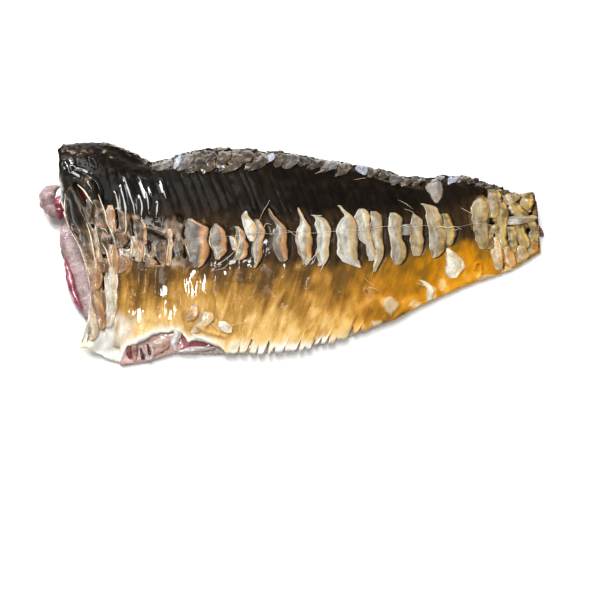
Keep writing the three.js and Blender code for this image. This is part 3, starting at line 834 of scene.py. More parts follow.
# Ovals on the skin as seen: x, y, half width, half height and lean to the right at the bottom
skinSpots = {
    "pale": [
        (76, 222, 12, 30, 8), (86, 250, 11, 22, 6), (93, 285, 11, 34, 3), (98, 318, 13, 20, -2),
        (109, 290, 9, 40, 1), (101, 238, 12, 30, 3), (114, 246, 10, 20, 2), (130, 240, 18, 22, 0),
        (152, 243, 18, 18, 0), (172, 243, 16, 23, 0), (192, 244, 20, 22, 0),
    ],
    "rust": [
        (96, 298, 6, 14, 2), (96, 258, 4, 12, 2), (141, 236, 3, 14, 0), (171, 246, 3, 16, 0),
        (127, 226, 3, 12, 0), (111, 220, 3, 10, 0), (203, 240, 4, 20, 0), (160, 262, 8, 4, 0),
        (125, 268, 7, 5, 0), (95, 322, 9, 12, -3), (367, 292, 5, 6, 2),
    ],
    "net": [
        (484, 218, 14, 24, 0), (502, 218, 14, 30, 2), (518, 216, 20, 30, 0), (530, 214, 14, 30, 0),
    ],
    "netHoles": [
        (487, 193, 5, 6, 0), (492.5, 225.5, 4.4, 4, 0), (494, 236, 4, 3.4, 0), (506.5, 241, 3, 7.5, 1),
        (517, 237, 2.4, 9, 1), (521, 201.5, 3.8, 5, 0), (509.5, 210, 4.4, 7, 2), (530, 213, 3.6, 5, -1),
        (529, 233, 2.4, 5, 1), (503, 264, 2, 7, 1), (506, 197, 3, 7, 2),
    ],
    "olive": [
        (240, 275, 20, 10, -6), (262, 284, 10, 12, -4), (286, 304, 7, 10, -3), (345, 280, 14, 18, -6),
        (176, 272, 14, 11, 0), (136, 270, 14, 10, 0), (150, 290, 16, 18, -3), (392, 278, 10, 10, -3),
        (352, 289, 13, 12, -4), (222, 290, 12, 10, -3), (391, 290, 12, 9, -3), (411, 290, 11, 8, -3),
        (366, 283, 9, 6, -3), (402, 268, 6, 12, -4), (424, 270, 5, 12, -3), (210, 336, 12, 4, 3),
        (392, 318, 16, 7, -4), (464, 246, 9, 9, 0), (482, 254, 5, 9, 0), (440, 268, 5, 10, -2),
    ],
    "deep": [
        (384, 316, 30, 12, -6), (236, 272, 36, 9, 0),
    ],
    "bright": [
        (160, 312, 24, 11, 0), (325, 322, 26, 12, 0), (212, 303, 22, 10, 0), (303, 264, 14, 7, 0),
        (372, 302, 16, 7, -6), (150, 322, 24, 9, 0), (425, 262, 14, 10, 0), (452, 286, 14, 8, 0),
        (470, 256, 12, 14, 0), (195, 322, 22, 8, 0), (275, 318, 24, 9, 0), (468, 274, 9, 8, 0),
        (496, 262, 7, 8, 0), (320, 282, 11, 17, -4), (298, 323, 14, 9, 0), (352, 266, 8, 7, 0),
    ],
    # painted glints on the black band at the head end
    "crust": [
        (66, 150, 4, 5, 0), (74, 150, 5, 5, 0), (83, 149, 6, 4, 0), (90, 152, 6, 4, 0),
        (104, 151, 3, 2.5, 0), (66, 158, 3, 5, 0), (80, 156, 5, 3, 0), (113, 158, 4, 2, 0),
        (129, 158, 4, 3, 0), (88, 182, 7, 10, 4),
    ],
    "cream": [
        (391, 304, 8, 8, 0), (416, 304, 7, 4, 0), (442, 285, 3.5, 5, 0), (376, 324, 6, 4, 0),
        (117, 318, 8, 10, 0), (431, 292, 5, 8, 0), (489, 277, 9, 3.4, -6), (505, 270, 6, 3, -3),
    ],
    "sparkles": [
        (188, 286, 6, 11, 3), (197, 286, 2.4, 8, 0), (203.5, 285, 3.6, 9, 0), (193, 273, 5, 5, -2),
        (165, 292, 4.5, 5, 0), (159, 303, 2, 7, 0), (165, 308, 2.6, 10, 0), (173, 312, 6, 9, 2),
        (145, 311, 6, 8, 2), (152, 306, 2, 8, -1), (131, 312, 3.5, 6, 1), (180, 300, 2.4, 8, 1),
        (214, 274, 3, 6, 0), (282, 270, 3, 7, -1), (308, 284, 3, 6, -1), (113, 323, 6, 5, 0),
        (72, 152, 5, 4, 0), (78, 150, 3, 3, 0), (103, 152, 3, 3, 0), (272.5, 228, 2.4, 5.5, 0),
        (264, 242, 4, 4, -1), (265, 252, 5, 3, -1), (232, 262, 5, 5, -1), (240, 262, 2, 6, 0),
        (246, 263, 5, 3, -1), (217, 264, 6, 3, 0), (251, 262, 3, 4, 0), (92, 225, 2.5, 8, 2),
        (124, 250, 6, 4, 0), (146, 252, 2, 8, 0), (313, 259, 4, 5, -3), (222, 272, 6, 3, 0),
        (100, 340, 14, 8, 0), (68, 166, 4, 7, 1), (76, 175, 5, 4, 2), (86, 178, 5, 4, 3),
        (139, 317, 4, 7, 1), (158, 314, 3, 8, 0), (182, 311, 3, 8, 1),
    ],
}

# Zones of the skin in millimetres, each where it begins, is full, fades and ends
skinZones = {
    "pockets": (-19, -12, 8, 14),           # from the lateral line up
    "foldsAlong": (-96, -90, -64, -56), "foldsUp": (-2, 8, 29, 36),
    "opening": (-86, -82, -34, -29),        # along the fish
    "duskBand": (66, 74, 88, 96),           # along the fish, the darker band of the tail
}


def bellyRetreat(edgeX, rng):  # how far the belly's edge is drawn back, the slits' part, and where they are
    slits = np.array(skinSheet["slits"])
    slitX = seenAtHeight(slits[:, 0], skinSheet["slitsSeenAt"], 1.0)[:, 0]
    inSlits = smooth(-31, -29, edgeX) * smooth(72, 58, edgeX)
    opening = skinSheet["opening"]
    retreat = through(opening, edgeX) * (edgeX > opening[0][0]) * (edgeX < opening[-1][0])
    tabs = rng.uniform(0, skinSheet["tabsUneven"], len(slitX) + 1)
    retreat = retreat + tabs[np.searchsorted(slitX, edgeX)] * inSlits
    slitDepth = 0 * edgeX
    for place, wide, deep in zip(slitX, 0.42 * slits[:, 1], pixelTall * slits[:, 2]):
        slitDepth = slitDepth + deep * np.clip(1.8 - 1.8 * np.abs(edgeX - place) / wide, 0, 1)
    retreat = retreat + slitDepth
    retreat = retreat + 0.5 * np.abs(softNoise(edgeX / 3, 0, 3)) + 0.25 * softNoise(edgeX / 1.1, 0, 6)
    return retreat, slitDepth, inSlits


def hangingCorner(plain):  # hangs out the belly's corner and frays the head end, and gives the way to it
    flapX, flapLeft, flapRight, hang, spread = skinSheet["cornerFlap"]
    toBelly, toTip = plain[..., 1] - plain[:, :1, 1], plain[..., 0] - flapX
    flap = bell(toTip, np.where(toTip < 0, flapLeft, flapRight)) * bell(toBelly, 9)
    toHead = plain[..., 0] - cutLineX(0.0, plain[..., 1] - shift[1]) - shift[0]
    corner = bell(toBelly, 12) * np.exp(-np.abs(toHead) / 9)
    plain = plain - np.stack([spread * corner, hang * flap, 0.72 * plain[..., 2] * flap], -1)
    frayed = 0.9 * softNoise(plain[..., 1] / 5, 0, 51) + 0.4 * softNoise(plain[..., 1] / 1.7, 0, 52)
    plain[..., 0] += np.exp(-np.abs(toHead) / 5) * frayed
    return plain, toHead


def skinShell(top, plain, normal, rims, attributes, uv):  # closes the skin with its thick, coarser underside
    columns, rows = top.shape[:2]
    under = skinSheet["underRows"]
    pick = np.round(np.linspace(0, rows - 1, under)).astype(int)
    thick = skinSheet["thickness"] * (1 + 0.9 * smooth(1, 6, rims[:, pick]))
    bottom = plain[:, pick] - normal[:, pick] * thick[..., None]
    bottom[..., 2] = np.maximum(bottom[..., 2], 0.1)
    start = columns * rows
    faces = gridFaces(columns, rows) + gridFaces(columns, under, start, turned=True)
    topIndex = np.arange(start).reshape(columns, rows)
    lowIndex = start + np.arange(columns * under).reshape(columns, under)
    for k in range(columns - 1):
        faces.append((topIndex[k, 0], lowIndex[k, 0], lowIndex[k + 1, 0], topIndex[k + 1, 0]))
        faces.append((topIndex[k, -1], topIndex[k + 1, -1], lowIndex[k + 1, -1], lowIndex[k, -1]))
    faces += laced(topIndex[0], lowIndex[0], np.arange(rows), pick)
    faces += [face[::-1] for face in laced(topIndex[-1], lowIndex[-1], np.arange(rows), pick)]
    points = np.concatenate([top.reshape(-1, 3), bottom.reshape(-1, 3)])
    inside = {key: values[:, pick].ravel() for key, values in attributes.items()}
    inside["cream"] = np.maximum(inside["cream"], 0.85)
    both = {key: np.concatenate([values.ravel(), inside[key]]) for key, values in attributes.items()}
    uv = np.concatenate([uv.reshape(-1, 2), uv[:, pick].reshape(-1, 2)])
    return meshObject("skin", points, [[int(i) for i in face] for face in faces], both, uv, finishes["skin"])


def skinPiece():
    rows, inner, count = skinSheet["rows"], skinSheet["sliceColumns"], fish["sliceCount"]
    cuts = np.array([cutPlace(k) for k in range(count + 1)])
    shares = np.append((cuts[:-1, None] + np.diff(cuts)[:, None] * inner).ravel(), 1)
    local = np.append(np.tile(inner, count), 1)[:, None]
    share, across = np.meshgrid(shares, acrossRows(rows)[0], indexing="ij")
    rng = np.random.default_rng(5)
    retreat, slitDepth, inSlits = bellyRetreat(skinPoint(shares, np.zeros_like(shares))[:, 0], rng)
    plain, toHead = hangingCorner(skinPoint(share, across, retreat[:, None]))
    normal = normalsOf(plain)
    inSlits, slitDepth, alongEdge = inSlits[:, None], slitDepth[:, None], shares[:, None]

    x, y = plain[..., 0], plain[..., 1]
    up = y - lateralY(x)                          # distance above the lateral line
    fromBelly, fromBack = y - plain[:, :1, 1], plain[:, -1:, 1] - y
    coarse, medium = softNoise(x / 17, y / 17, 1), softNoise(x / 6, y / 6, 2)
    small = softNoise(x / 2.4, y / 2.4, 4)

    def spotted(name, low, high, mediumShare=0.0, smallShare=0.0):
        return smooth(low, high, seenSpots(skinSpots[name], x, y) + mediumShare * medium + smallShare * small)

    # Zones
    backZone = smooth(7, 13, up + 2.5 * medium)
    onBelly = smooth(-8, -14, up)
    head = 1 - smooth(-78, -52, x + 6 * coarse)
    pocketZone = zone(up, *skinZones["pockets"])
    foldZone = zone(x, *skinZones["foldsAlong"]) * zone(up, *skinZones["foldsUp"])
    cornerZone = smooth(-70, -88, x) * smooth(-42, -52, y + 2 * medium)
    openingEdge = zone(x, *skinZones["opening"]) * bell(fromBelly, 2.6)
    blackBand = smooth(33, 38, up) * (1 - smooth(-78, -66, x))
    lip = bell(toHead, 0.8)
    below = through(skinSheet["goldEdge"], x) - up + 1.6 * medium + 1.2 * coarse
    gold = smooth(-3, 3, below)

    # Ribs over the slices, folds and ripples
    ribNoise = np.append(np.repeat(rng.uniform(0.4, 1.4, count), len(inner)), 1)[:, None]
    ribHeight = through(skinSheet["ribHeight"], x) * ribNoise * (1 + 0.5 * medium)
    ribHeight = ribHeight * (0.4 + 0.6 * backZone) * smooth(0, 3, toHead)
    valley = bell(np.minimum(local, 1 - local), 0.14)
    crest = 0.5 - 0.5 * np.cos(2 * np.pi * local)
    ribFade = 0.4 + 0.9 * np.abs(softNoise(share * 40, y / 11, 27))
    relief = ribHeight * ribFade * (0.6 * crest - 0.8 * valley * (1 - 0.8 * onBelly)) * (1 - 0.8 * foldZone)
    rib, ridge, slot = [seenPaths(skinPaths[name], x, y) for name in ("ribs", "ridges", "slots")]
    relief = relief + skinSheet["foldHeight"] * rib * (1 + 0.3 * medium)
    ripple = softNoise(share * 54 + 0.7 * medium, y / 14, 17)
    relief = relief + onBelly * ripple * through(skinSheet["rippleHeight"], x)
    relief = relief + 0.5 * coarse + (0.2 * medium * (1 + head) + 0.08 * small) * (1 - 0.75 * foldZone)
    ridged = (1 - np.abs(softNoise(x / 4 + y / 14, y / 10 - x / 30, 7))) ** 2
    crumple = head * pocketZone
    relief = relief + crumple * (0.9 * ridged - 0.6)
    pocketSlot = seenPaths([(1.0, *[(right + 1.5, down) for down, left, right in stations])
                            for tone, *stations in lateralPockets], x, y)
    relief = relief + 1.2 * ridge - 2.2 * slot - 0.6 * pocketSlot
    relief = relief + blackBand * (0.35 * np.abs(small + medium) + 0.25 * ridged)

    # Raised, broken and hanging places
    relief = relief + 2.2 * bell(x + 86, 11) * smooth(10, 3, fromBack)
    crust = smooth(14, 8, fromBack + 3 * medium) * smooth(-82, -75, x)
    shards = 1 - np.abs(softNoise(x / 2.8, y / 3.4, 47))
    relief = relief + crust * (1.3 * shards**3 - 0.5)
    hole = spotted("netHoles", 0, 0.5, 0, 0.3)
    net = spotted("net", -0.1, 0.4, 0.4, 0.2) * (1 - hole)
    relief = relief - 1.2 * hole + 0.5 * net + 0.6 * lip + 0.9 * openingEdge * (1 + 0.4 * medium)
    relief = relief + 0.9 * inSlits * bell(fromBelly, 3.5) * softNoise(alongEdge * 48, 0, 9)
    wetSpots = smooth(-0.1, 0.3, seenSpots(skinSpots["sparkles"], x, y) + 0.4 * softNoise(x / 1.7, y / 5, 53))
    relief = relief * (1 - 0.8 * wetSpots * onBelly) + 0.09 * wetSpots * softNoise(x / 1.3, y / 4.5, 23)
    wrinkles = softNoise(x / 1.9 + y / 14, y / 7, 19) + 0.6 * softNoise(x / 3.7 - y / 9, y / 5, 29)
    relief = np.maximum(relief + 0.9 * cornerZone * wrinkles, skinSheet["leastRelief"])
    relief = relief * np.minimum(1, np.minimum(fromBelly / 1.5 + 0.2, (1 - across) * 30))
    top = plain + normal * relief[..., None]
    top[..., 2] = np.maximum(top[..., 2], 0.25)
    ground = relief
    for turn, axis in ((1, 0), (-1, 0), (2, 0), (-2, 0), (1, 1), (-1, 1)):
        ground = np.maximum(ground, np.roll(relief, turn, axis))
    skinRelief.update(shares=shares, places=acrossRows(rows)[0], ground=np.maximum(ground, -0.4))

    # Colours of the belly, from its dark to its bright places
    glow = np.clip(below / 44 + 0.08 * coarse + 0.06 * medium, 0, 1.1)
    glow = glow - 0.17 * spotted("olive", -0.4, 1, 0.7, 0.3) + 0.2 * spotted("bright", -0.3, 0.9, 0.5)
    glow = glow - 0.45 * spotted("deep", -0.5, 0.9, 0.5, 0.2)
    glow = glow + 0.11 * smooth(0, 30, x) * softNoise(x / 2.2 + y / 9, y / 7, 61)

    # Pale places
    tipReach = through(skinSheet["paleTips"], x) * (1 + 0.25 * softNoise(alongEdge * 22, 0, 57))
    tips = np.exp(-(((fromBelly + slitDepth) / tipReach) ** 4))
    tips = tips * (0.8 + 0.5 * softNoise(alongEdge * 30, 0, 37))
    cream = np.maximum(openingEdge * 1.2 + cornerZone, 0.55 * spotted("cream", 0, 0.4, 0.3, 0.6))
    cream = np.maximum(cream, inSlits * tips * smooth(34, 18, x))
    cream = np.clip(np.maximum(cream, lip * (0.7 + 0.6 * medium) * smooth(34, 26, up)), 0, 1)
    pale = spotted("pale", -0.1, 0.4, 0.35, 0.25) * (1 - 0.9 * slot)
    rust = 0.65 * spotted("rust", -0.1, 0.5, 0.4)
    # the painted glints join the crust
    crust = 0.9 * np.maximum(crust, spotted("crust", -0.2, 0.5, 0, 0.5))

    # Dark places: painted shade in the rib valleys, the crumple hollows, the slots and the holes, a painted
    # shadow in the groove beside each pocket, the skin between the pockets darker, and the darker band of the
    # tail
    dusk = valley * 0.3 * (1 - gold) * (1 - head) + 1.2 * slot + 0.25 * crumple * (1 - ridged) + 0.9 * hole
    dusk = dusk + 0.1 * valley * gold * (1 - glow) + 0.75 * pocketSlot * smooth(-16, -11, up)
    dusk = dusk + zone(x, *skinZones["duskBand"]) * smooth(10, 20, up) * 0.8
    dusk = dusk + 0.35 * pocketZone * (1 - gold) * (1 - head)

    # Shine: a painted sheen along the rib crests of the back, the brown tint near the pockets, and the wet
    # coat
    sheen = crest * backZone * bell(x + 34, 26) * smooth(50, 40, up) * smooth(14, 24, up)
    bronze = 0.85 * smooth(22, 3, up + 3 * medium) + 0.12 * smooth(60, 75, x) * smooth(30, 16, up)
    bronze = np.clip(bronze, 0, 1) * (1 - 0.8 * head)
    wet = 0.06 * (1 - 0.75 * backZone) + 0.4 * smooth(-56, -70, x) * (1 - backZone) * (1 - gold)
    wet = wet + 1.1 * smooth(0.36, 0.6, rib) + 0.06 * medium * (1 - 0.6 * backZone)
    wet = wet + 0.1 * blackBand + 0.3 * cornerZone
    wet = wet * (1 - 0.9 * blackBand * smooth(-104, -97, x)) * (1 - 0.5 * smooth(20, 50, x) * (1 - gold))

    attributes = {"gold": gold, "glow": np.clip(glow, 0, 1), "warm": smooth(-5, 80, x),
                  "dusk": np.clip(dusk, 0, 1), "sheen": 0.45 * np.clip(sheen, 0, 1), "bronze": bronze,
                  "net": net, "crust": crust, "pale": pale, "rust": rust, "cream": cream,
                  "blood": seenPaths(skinPaths["blood"], x, y),
                  "wet": np.clip(wet + wetSpots, 0.02, 1)}
    rims = np.minimum(np.minimum(fromBelly, (1 - across) * 120), np.minimum(toHead, (1 - share) * 240))
    return skinShell(top, plain, normal, rims, attributes, np.stack([share, across], -1))


def groundAt(share, across):  # how far the skin stands over the plain skin, in millimetres
    ground = skinRelief["ground"]
    i = np.interp(share, skinRelief["shares"], np.arange(ground.shape[0]))
    j = np.interp(across, skinRelief["places"], np.arange(ground.shape[1]))
    a, b = np.minimum(i.astype(int), ground.shape[0] - 2), np.minimum(j.astype(int), ground.shape[1] - 2)
    s, t = i - a, j - b
    low = ground[a, b] * (1 - s) + ground[a + 1, b] * s
    return low * (1 - t) + (ground[a, b + 1] * (1 - s) + ground[a + 1, b + 1] * s) * t


settle(skinPiece())

print("stage: node groups")


class GeometryBench(Bench):  # a Geometry Nodes tree with named inputs
    kinds = {float: "NodeSocketFloat", int: "NodeSocketInt", bpy.types.Object: "NodeSocketObject",
             bpy.types.Material: "NodeSocketMaterial"}

    def __init__(self, name, inputs):
        super().__init__(bpy.data.node_groups.new(name, "GeometryNodeTree"))
        self.values = inputs
        self.tree.interface.new_socket("Geometry", in_out="INPUT", socket_type="NodeSocketGeometry")
        self.tree.interface.new_socket("Geometry", in_out="OUTPUT", socket_type="NodeSocketGeometry")
        for key, value in inputs.items():
            self.tree.interface.new_socket(key, in_out="INPUT", socket_type=self.kinds[type(value)])
        self.group = self.tree.nodes.new("NodeGroupInput")

    def input(self, name):
        return Wire(self, self.group.outputs[name])

    def object(self, name):  # the geometry of an object that is an input
        return self.node("GeometryNodeObjectInfo", {}, {"Object": self.input(name)}, "Geometry")

    def named(self, name, kind="FLOAT"):
        return self.node("GeometryNodeInputNamedAttribute", {"data_type": kind}, {"Name": name})

    def stored(self, geometry, name, value):  # keeps a vector on each point
        return self.node("GeometryNodeStoreNamedAttribute", {"data_type": "FLOAT_VECTOR", "domain": "POINT"},
                         {"Geometry": geometry, "Name": name, "Value": value})

    def onGuide(self, value, place):  # a value of the guide surface at a place given by its cuts
        return self.node("GeometryNodeSampleUVSurface", {"data_type": "FLOAT_VECTOR"},
                         {0: self.object("Guide"), 1: value, 2: self.named("cuts", "FLOAT_VECTOR"), 3: place})

    def laid(self, place, lift):  # a point of the guide surface, lifted off it by so many metres
        spot = self.onGuide(self.node("GeometryNodeInputPosition"), place)
        out = self.onGuide(self.named("out", "FLOAT_VECTOR"), place)
        raised = self.node("ShaderNodeVectorMath", {"operation": "SCALE"}, {0: out, "Scale": lift})
        return self.vector("ADD", spot, raised)

    def moved(self, geometry, position):
        return self.node("GeometryNodeSetPosition", {}, {"Geometry": geometry, "Position": position})

    def grow(self, base, geometry):  # ends the tree, runs it on the base and keeps the result as a plain mesh
        whole = self.node("GeometryNodeRealizeInstances", {}, {"Geometry": geometry})
        made = self.node("GeometryNodeSetMaterial", {}, {"Geometry": whole, "Material": self.input("Finish")})
        self.tree.links.new(made.socket, self.tree.nodes.new("NodeGroupOutput").inputs[0])
        modifier = base.modifiers.new(base.name, "NODES")
        modifier.node_group = self.tree
        for item in self.tree.interface.items_tree:
            if item.in_out == "INPUT" and item.name in self.values:
                modifier[item.identifier] = self.values[item.name]
        graph = bpy.context.evaluated_depsgraph_get()
        mesh = bpy.data.meshes.new_from_object(base.evaluated_get(graph), preserve_all_data_layers=True,
                                               depsgraph=graph)
        base.modifiers.remove(modifier)
        mesh.name = base.name
        base.data = mesh
        mesh.polygons.foreach_set("use_smooth", np.ones(len(mesh.polygons), bool))
        return base


print("stage: scored flesh")

shareLimits = (0.0005, 0.9995)  # how near to the ends of the guide surface anything is laid
scoredFlesh = {
    "wide": 7, "long": 60, "deep": 5,  # points of one slice's block each way
    "from": 0.02, "to": 0.997,         # where across the skin the slices begin and end
    "openShare": 0.3,                  # a cut's width at the flesh side as a share of one slice
    "pillow": 1.2, "waviness": 0.8, "skinThickness": 2.2, "leastTop": 1.2, "leastHeight": 0.1,
}


def sliceBlock():  # a closed block: x across the slice, y from belly to back, z from the board to the skin
    wide, long, deep = scoredFlesh["wide"], scoredFlesh["long"], scoredFlesh["deep"]
    around = [(i / (wide - 1), 0) for i in range(wide)] + [(1, k / (deep - 1)) for k in range(1, deep)]
    around += [(1 - i / (wide - 1), 1) for i in range(1, wide)]
    around += [(0, 1 - k / (deep - 1)) for k in range(1, deep - 1)]
    points = [(x, y, z) for y in np.linspace(scoredFlesh["from"], scoredFlesh["to"], long) for x, z in around]
    return meshObject("sliceBlock", np.array(points) / mm, tubeFaces(long, len(around), first=1))


def tubeFaces(rows, count, start=0, first=0):  # a closed tube of rows of points; first turns each face
    faces, last = [], start + (rows - 1) * count
    for row in range(start, last, count):
        for i in range(count):
            a, b = row + i, row + (i + 1) % count
            face = (a, b, b + count, a + count)
            faces.append(face[first:] + face[:first])
    return [*faces, tuple(reversed(range(start, start + count))), tuple(range(last, last + count))]


def fleshPiece():
    cuts = np.array([cutPlace(k) for k in range(fish["sliceCount"] + 1)])
    count = len(cuts) - 1
    base = meshObject("scoredFlesh", np.zeros((count, 3)), [], {"from": cuts[:-1], "size": np.diff(cuts),
                                                                "number": np.arange(count)})
    block = sliceBlock()
    g = GeometryBench("slicedFlesh", {"Guide": plainSkin, "Block": block, "Finish": finishes["flesh"],
                                      "Open share": scoredFlesh["openShare"],
                                      "Pillow": scoredFlesh["pillow"] * mm,
                                      "Waviness": scoredFlesh["waviness"] * mm,
                                      "Skin": scoredFlesh["skinThickness"] * mm})
    slices = g.node("GeometryNodeInstanceOnPoints", {}, {"Points": g.input("Geometry"),
                                                         "Instance": g.object("Block")})
    slices = g.node("GeometryNodeRealizeInstances", {}, {"Geometry": slices})
    x, y, z = g.parts(g.node("GeometryNodeInputPosition"))
    deepness, side = z.between(0.75, 0), x * 2 - 1
    wave = g.node("ShaderNodeTexNoise", {}, {"Vector": g.joined(g.named("number"), y * 9, z), "Scale": 1.3,
                                             "Detail": 3.0})
    narrow = 1 - deepness * g.input("Open share") * (0.6 + wave * 0.8)
    share = g.named("from") + g.named("size") * ((side * narrow + 1) * 0.5)
    share = share + (wave - 0.5) * deepness * 0.006
    place = g.joined(share.atLeast(shareLimits[0]).atMost(shareLimits[1]), y, 0.0)
    topX, topY, topZ = g.parts(g.laid(place, g.input("Skin") * -1))
    topZ = topZ.atLeast(scoredFlesh["leastTop"] * mm)
    rounded = side.math("ABSOLUTE", side) ** 3 * g.input("Pillow") + wave * g.input("Waviness")
    low = rounded.atMost(topZ * 0.9)
    height = (low + (topZ - low) * z).atLeast(scoredFlesh["leastHeight"] * mm)
    made = g.stored(slices, "cuts", place)  # stored before the points move
    piece = g.grow(base, g.moved(made, g.joined(topX, topY, height)))
    bpy.data.objects.remove(block)
    return piece


settle(fleshPiece())

print("stage: scale pockets")

# Points of a leaf each way, how ragged and how much wider than seen, its heights in millimetres, its
# crinkles, and the shares of it over which it thins out at its left, right and ends
pocketStyle = dict(wide=15, long=30, ragged=1.1, grow=0.9, ridge=0.2, flat=0.06, crinkleScale=300.0,
                   crinkle=0.3, fade=(0.1, 0.2, 0.07))
scrapStyle = dict(wide=13, long=16, ragged=0.7, grow=0.7, ridge=0.1, flat=0.08, crinkleScale=300.0,
                  crinkle=0.4, fade=(0.3, 0.36, 0.3))
foldStyle = dict(wide=11, long=24, ragged=1.0, grow=0.9, ridge=0.24, flat=0.05, crinkleScale=260.0,
                 crinkle=0.6, fade=(0.12, 0.2, 0.22))
dorsalStyle = dict(wide=11, long=14, ragged=1.5, grow=1.0, ridge=0.6, flat=0.1, crinkleScale=380.0,
                   crinkle=2.4, fade=(0.17, 0.17, 0.17))
leafRoot = 1.1    # millimetres that a leaf's lower side lies under the skin
tailFrom = 470    # the tail's part of the frame, where leaves are wider and more ragged


def sheetFaces(top, low):  # a closed sheet from two grids of points, and which of its faces are soft
    faces = gridFaces(*top.shape, start=top[0, 0]) + gridFaces(*low.shape, start=low[0, 0], turned=True)
    soft = [True] * len(faces)
    for j in range(top.shape[1] - 1):
        faces.append((top[0, j], top[0, j + 1], low[0, j + 1], low[0, j]))
        faces.append((top[-1, j], low[-1, j], low[-1, j + 1], top[-1, j + 1]))
    for i in range(top.shape[0] - 1):
        faces.append((top[i, 0], low[i, 0], low[i + 1, 0], top[i + 1, 0]))
        faces.append((top[i, -1], top[i + 1, -1], low[i + 1, -1], low[i, -1]))
    return [[int(i) for i in face] for face in faces], soft + [False] * (len(faces) - len(soft))


def leafGrid(long, wide, number):  # shares down and across a leaf, and both with its number, for its fibres
    v, u = np.meshgrid(np.linspace(0, 1, long), np.linspace(0, 1, wide), indexing="ij")
    return v, u, np.stack([u, v, 0 * u + number * 1.7], -1)


def flatRows(values):  # grids of numbers or vectors as plain rows
    return [value.reshape(-1, *value.shape[2:]) for value in values]


def threadY(px):  # where the thread of the lateral line runs in the frame
    return 237 - (px - 190) * 0.048


def seenLeaves(leaves, style):  # leaves that are given as seen, as (tone, share, across, lift, shade) grids
    u = np.linspace(0, 1, style["wide"])
    v = 0.5 - 0.5 * np.cos(np.linspace(0, np.pi, style["long"]))
    slope = smooth(0.1, 0.74, u) * (1 - 0.75 * smooth(0.82, 1.02, u))
    taper = np.sin(np.pi * np.clip(v, 0.02, 0.98))[:, None] ** 0.5
    made = []
    for number, (tone, *stations) in enumerate(leaves):
        y, left, right = outlineAt(stations, v)
        more = 0.6 * (np.mean([row[1] for row in stations]) > tailFrom)
        ragged, grow = style["ragged"] * (1 + more), style["grow"] + more
        nicks = 0.4 * softNoise(y / 1.4, 2.3 * number, 24)
        left = left + ragged * (softNoise(y / 4.6, 3.7 * number, 21) + nicks) - grow
        right = right + ragged * (softNoise(y / 5.2, 5.3 * number, 22) - nicks) + grow
        px = left[:, None] + np.maximum(right - left, 0.6)[:, None] * u
        py = y[:, None] + 0 * px
        hits = seenOnSkin(px, py)
        share, across = cutsAt(hits[..., 0], hits[..., 1])
        pinch = bell(py - threadY(px), 2.2)
        raised = slope * (1 + 0.35 * softNoise(7.7 * number + u, py / 5, 25))
        lift = style["flat"] + style["ridge"] * raised * taper * (1 - 0.5 * pinch)
        # the last grid is painted shade in the crease where the thread crosses
        made.append((tone, share, across, lift, 0.3 * pinch * smooth(0.15, 0.6, u)))
    return made


def leafPiece(name, leaves, style, finish):  # closed leaves laid on the skin
    start, faces, soft, parts = 0, [], [], []
    for number, (tone, share, across, lift, shade) in enumerate(leaves):
        ground = groundAt(share, across)
        top = start + np.arange(share.size).reshape(share.shape)
        sheet, smoothed = sheetFaces(top, top + share.size)
        faces += sheet
        soft += smoothed
        start += 2 * share.size
        v, u, leaf = leafGrid(*share.shape, number)
        place = np.stack([np.clip(share, *shareLimits), np.clip(across, *shareLimits), 0 * share], -1)
        for upper, height in ((1, ground + lift), (0, ground - leafRoot)):
            parts.append(flatRows([place, height, 0 * u + upper, leaf, 0 * u + tone, shade + 0 * u, u, v]))
    place, lift, upper, leaf, tone, shade, u, v = [np.concatenate(column) for column in zip(*parts)]
    fromLeft, fromRight, fromEnds = style["fade"]
    edge = 1 - np.minimum.reduce([u / fromLeft, (1 - u) / fromRight, v / fromEnds, (1 - v) / fromEnds])
    base = meshObject(name, place / mm, faces, {"place": place, "lift": lift * mm, "upper": upper,
                                                "leaf": leaf, "tone": tone, "shade": shade, "across": u,
                                                "edge": np.clip(edge, 0, 1)})
    g = GeometryBench(name, {"Guide": plainSkin, "Finish": finish, "Crinkle scale": style["crinkleScale"],
                             "Crinkle": style["crinkle"] * mm})
    spot = g.named("place", "FLOAT_VECTOR")
    noise = g.node("ShaderNodeTexNoise", {}, {"Vector": g.laid(spot, 0.0), "Scale": g.input("Crinkle scale"),
                                              "Detail": 2.0})
    lifted = g.named("lift") + (noise - 0.5) * g.input("Crinkle") * g.named("upper")
    piece = g.grow(base, g.moved(g.input("Geometry"), g.laid(spot, lifted)))
    piece.data.polygons.foreach_set("use_smooth", soft)
    return piece


def seenLeafPiece(name, leaves, style, finish):
    settle(leafPiece(name, seenLeaves(leaves, style), style, finishes[finish]))


seenLeafPiece("lateralPockets", lateralPockets, pocketStyle, "pocket")
seenLeafPiece("headFolds", headFolds, foldStyle, "fold")
seenLeafPiece("membraneScraps", scraps, scrapStyle, "scrap")

boardSheet = {"wide": 17, "long": 14, "thickness": 0.7, "leastHeight": 0.9}


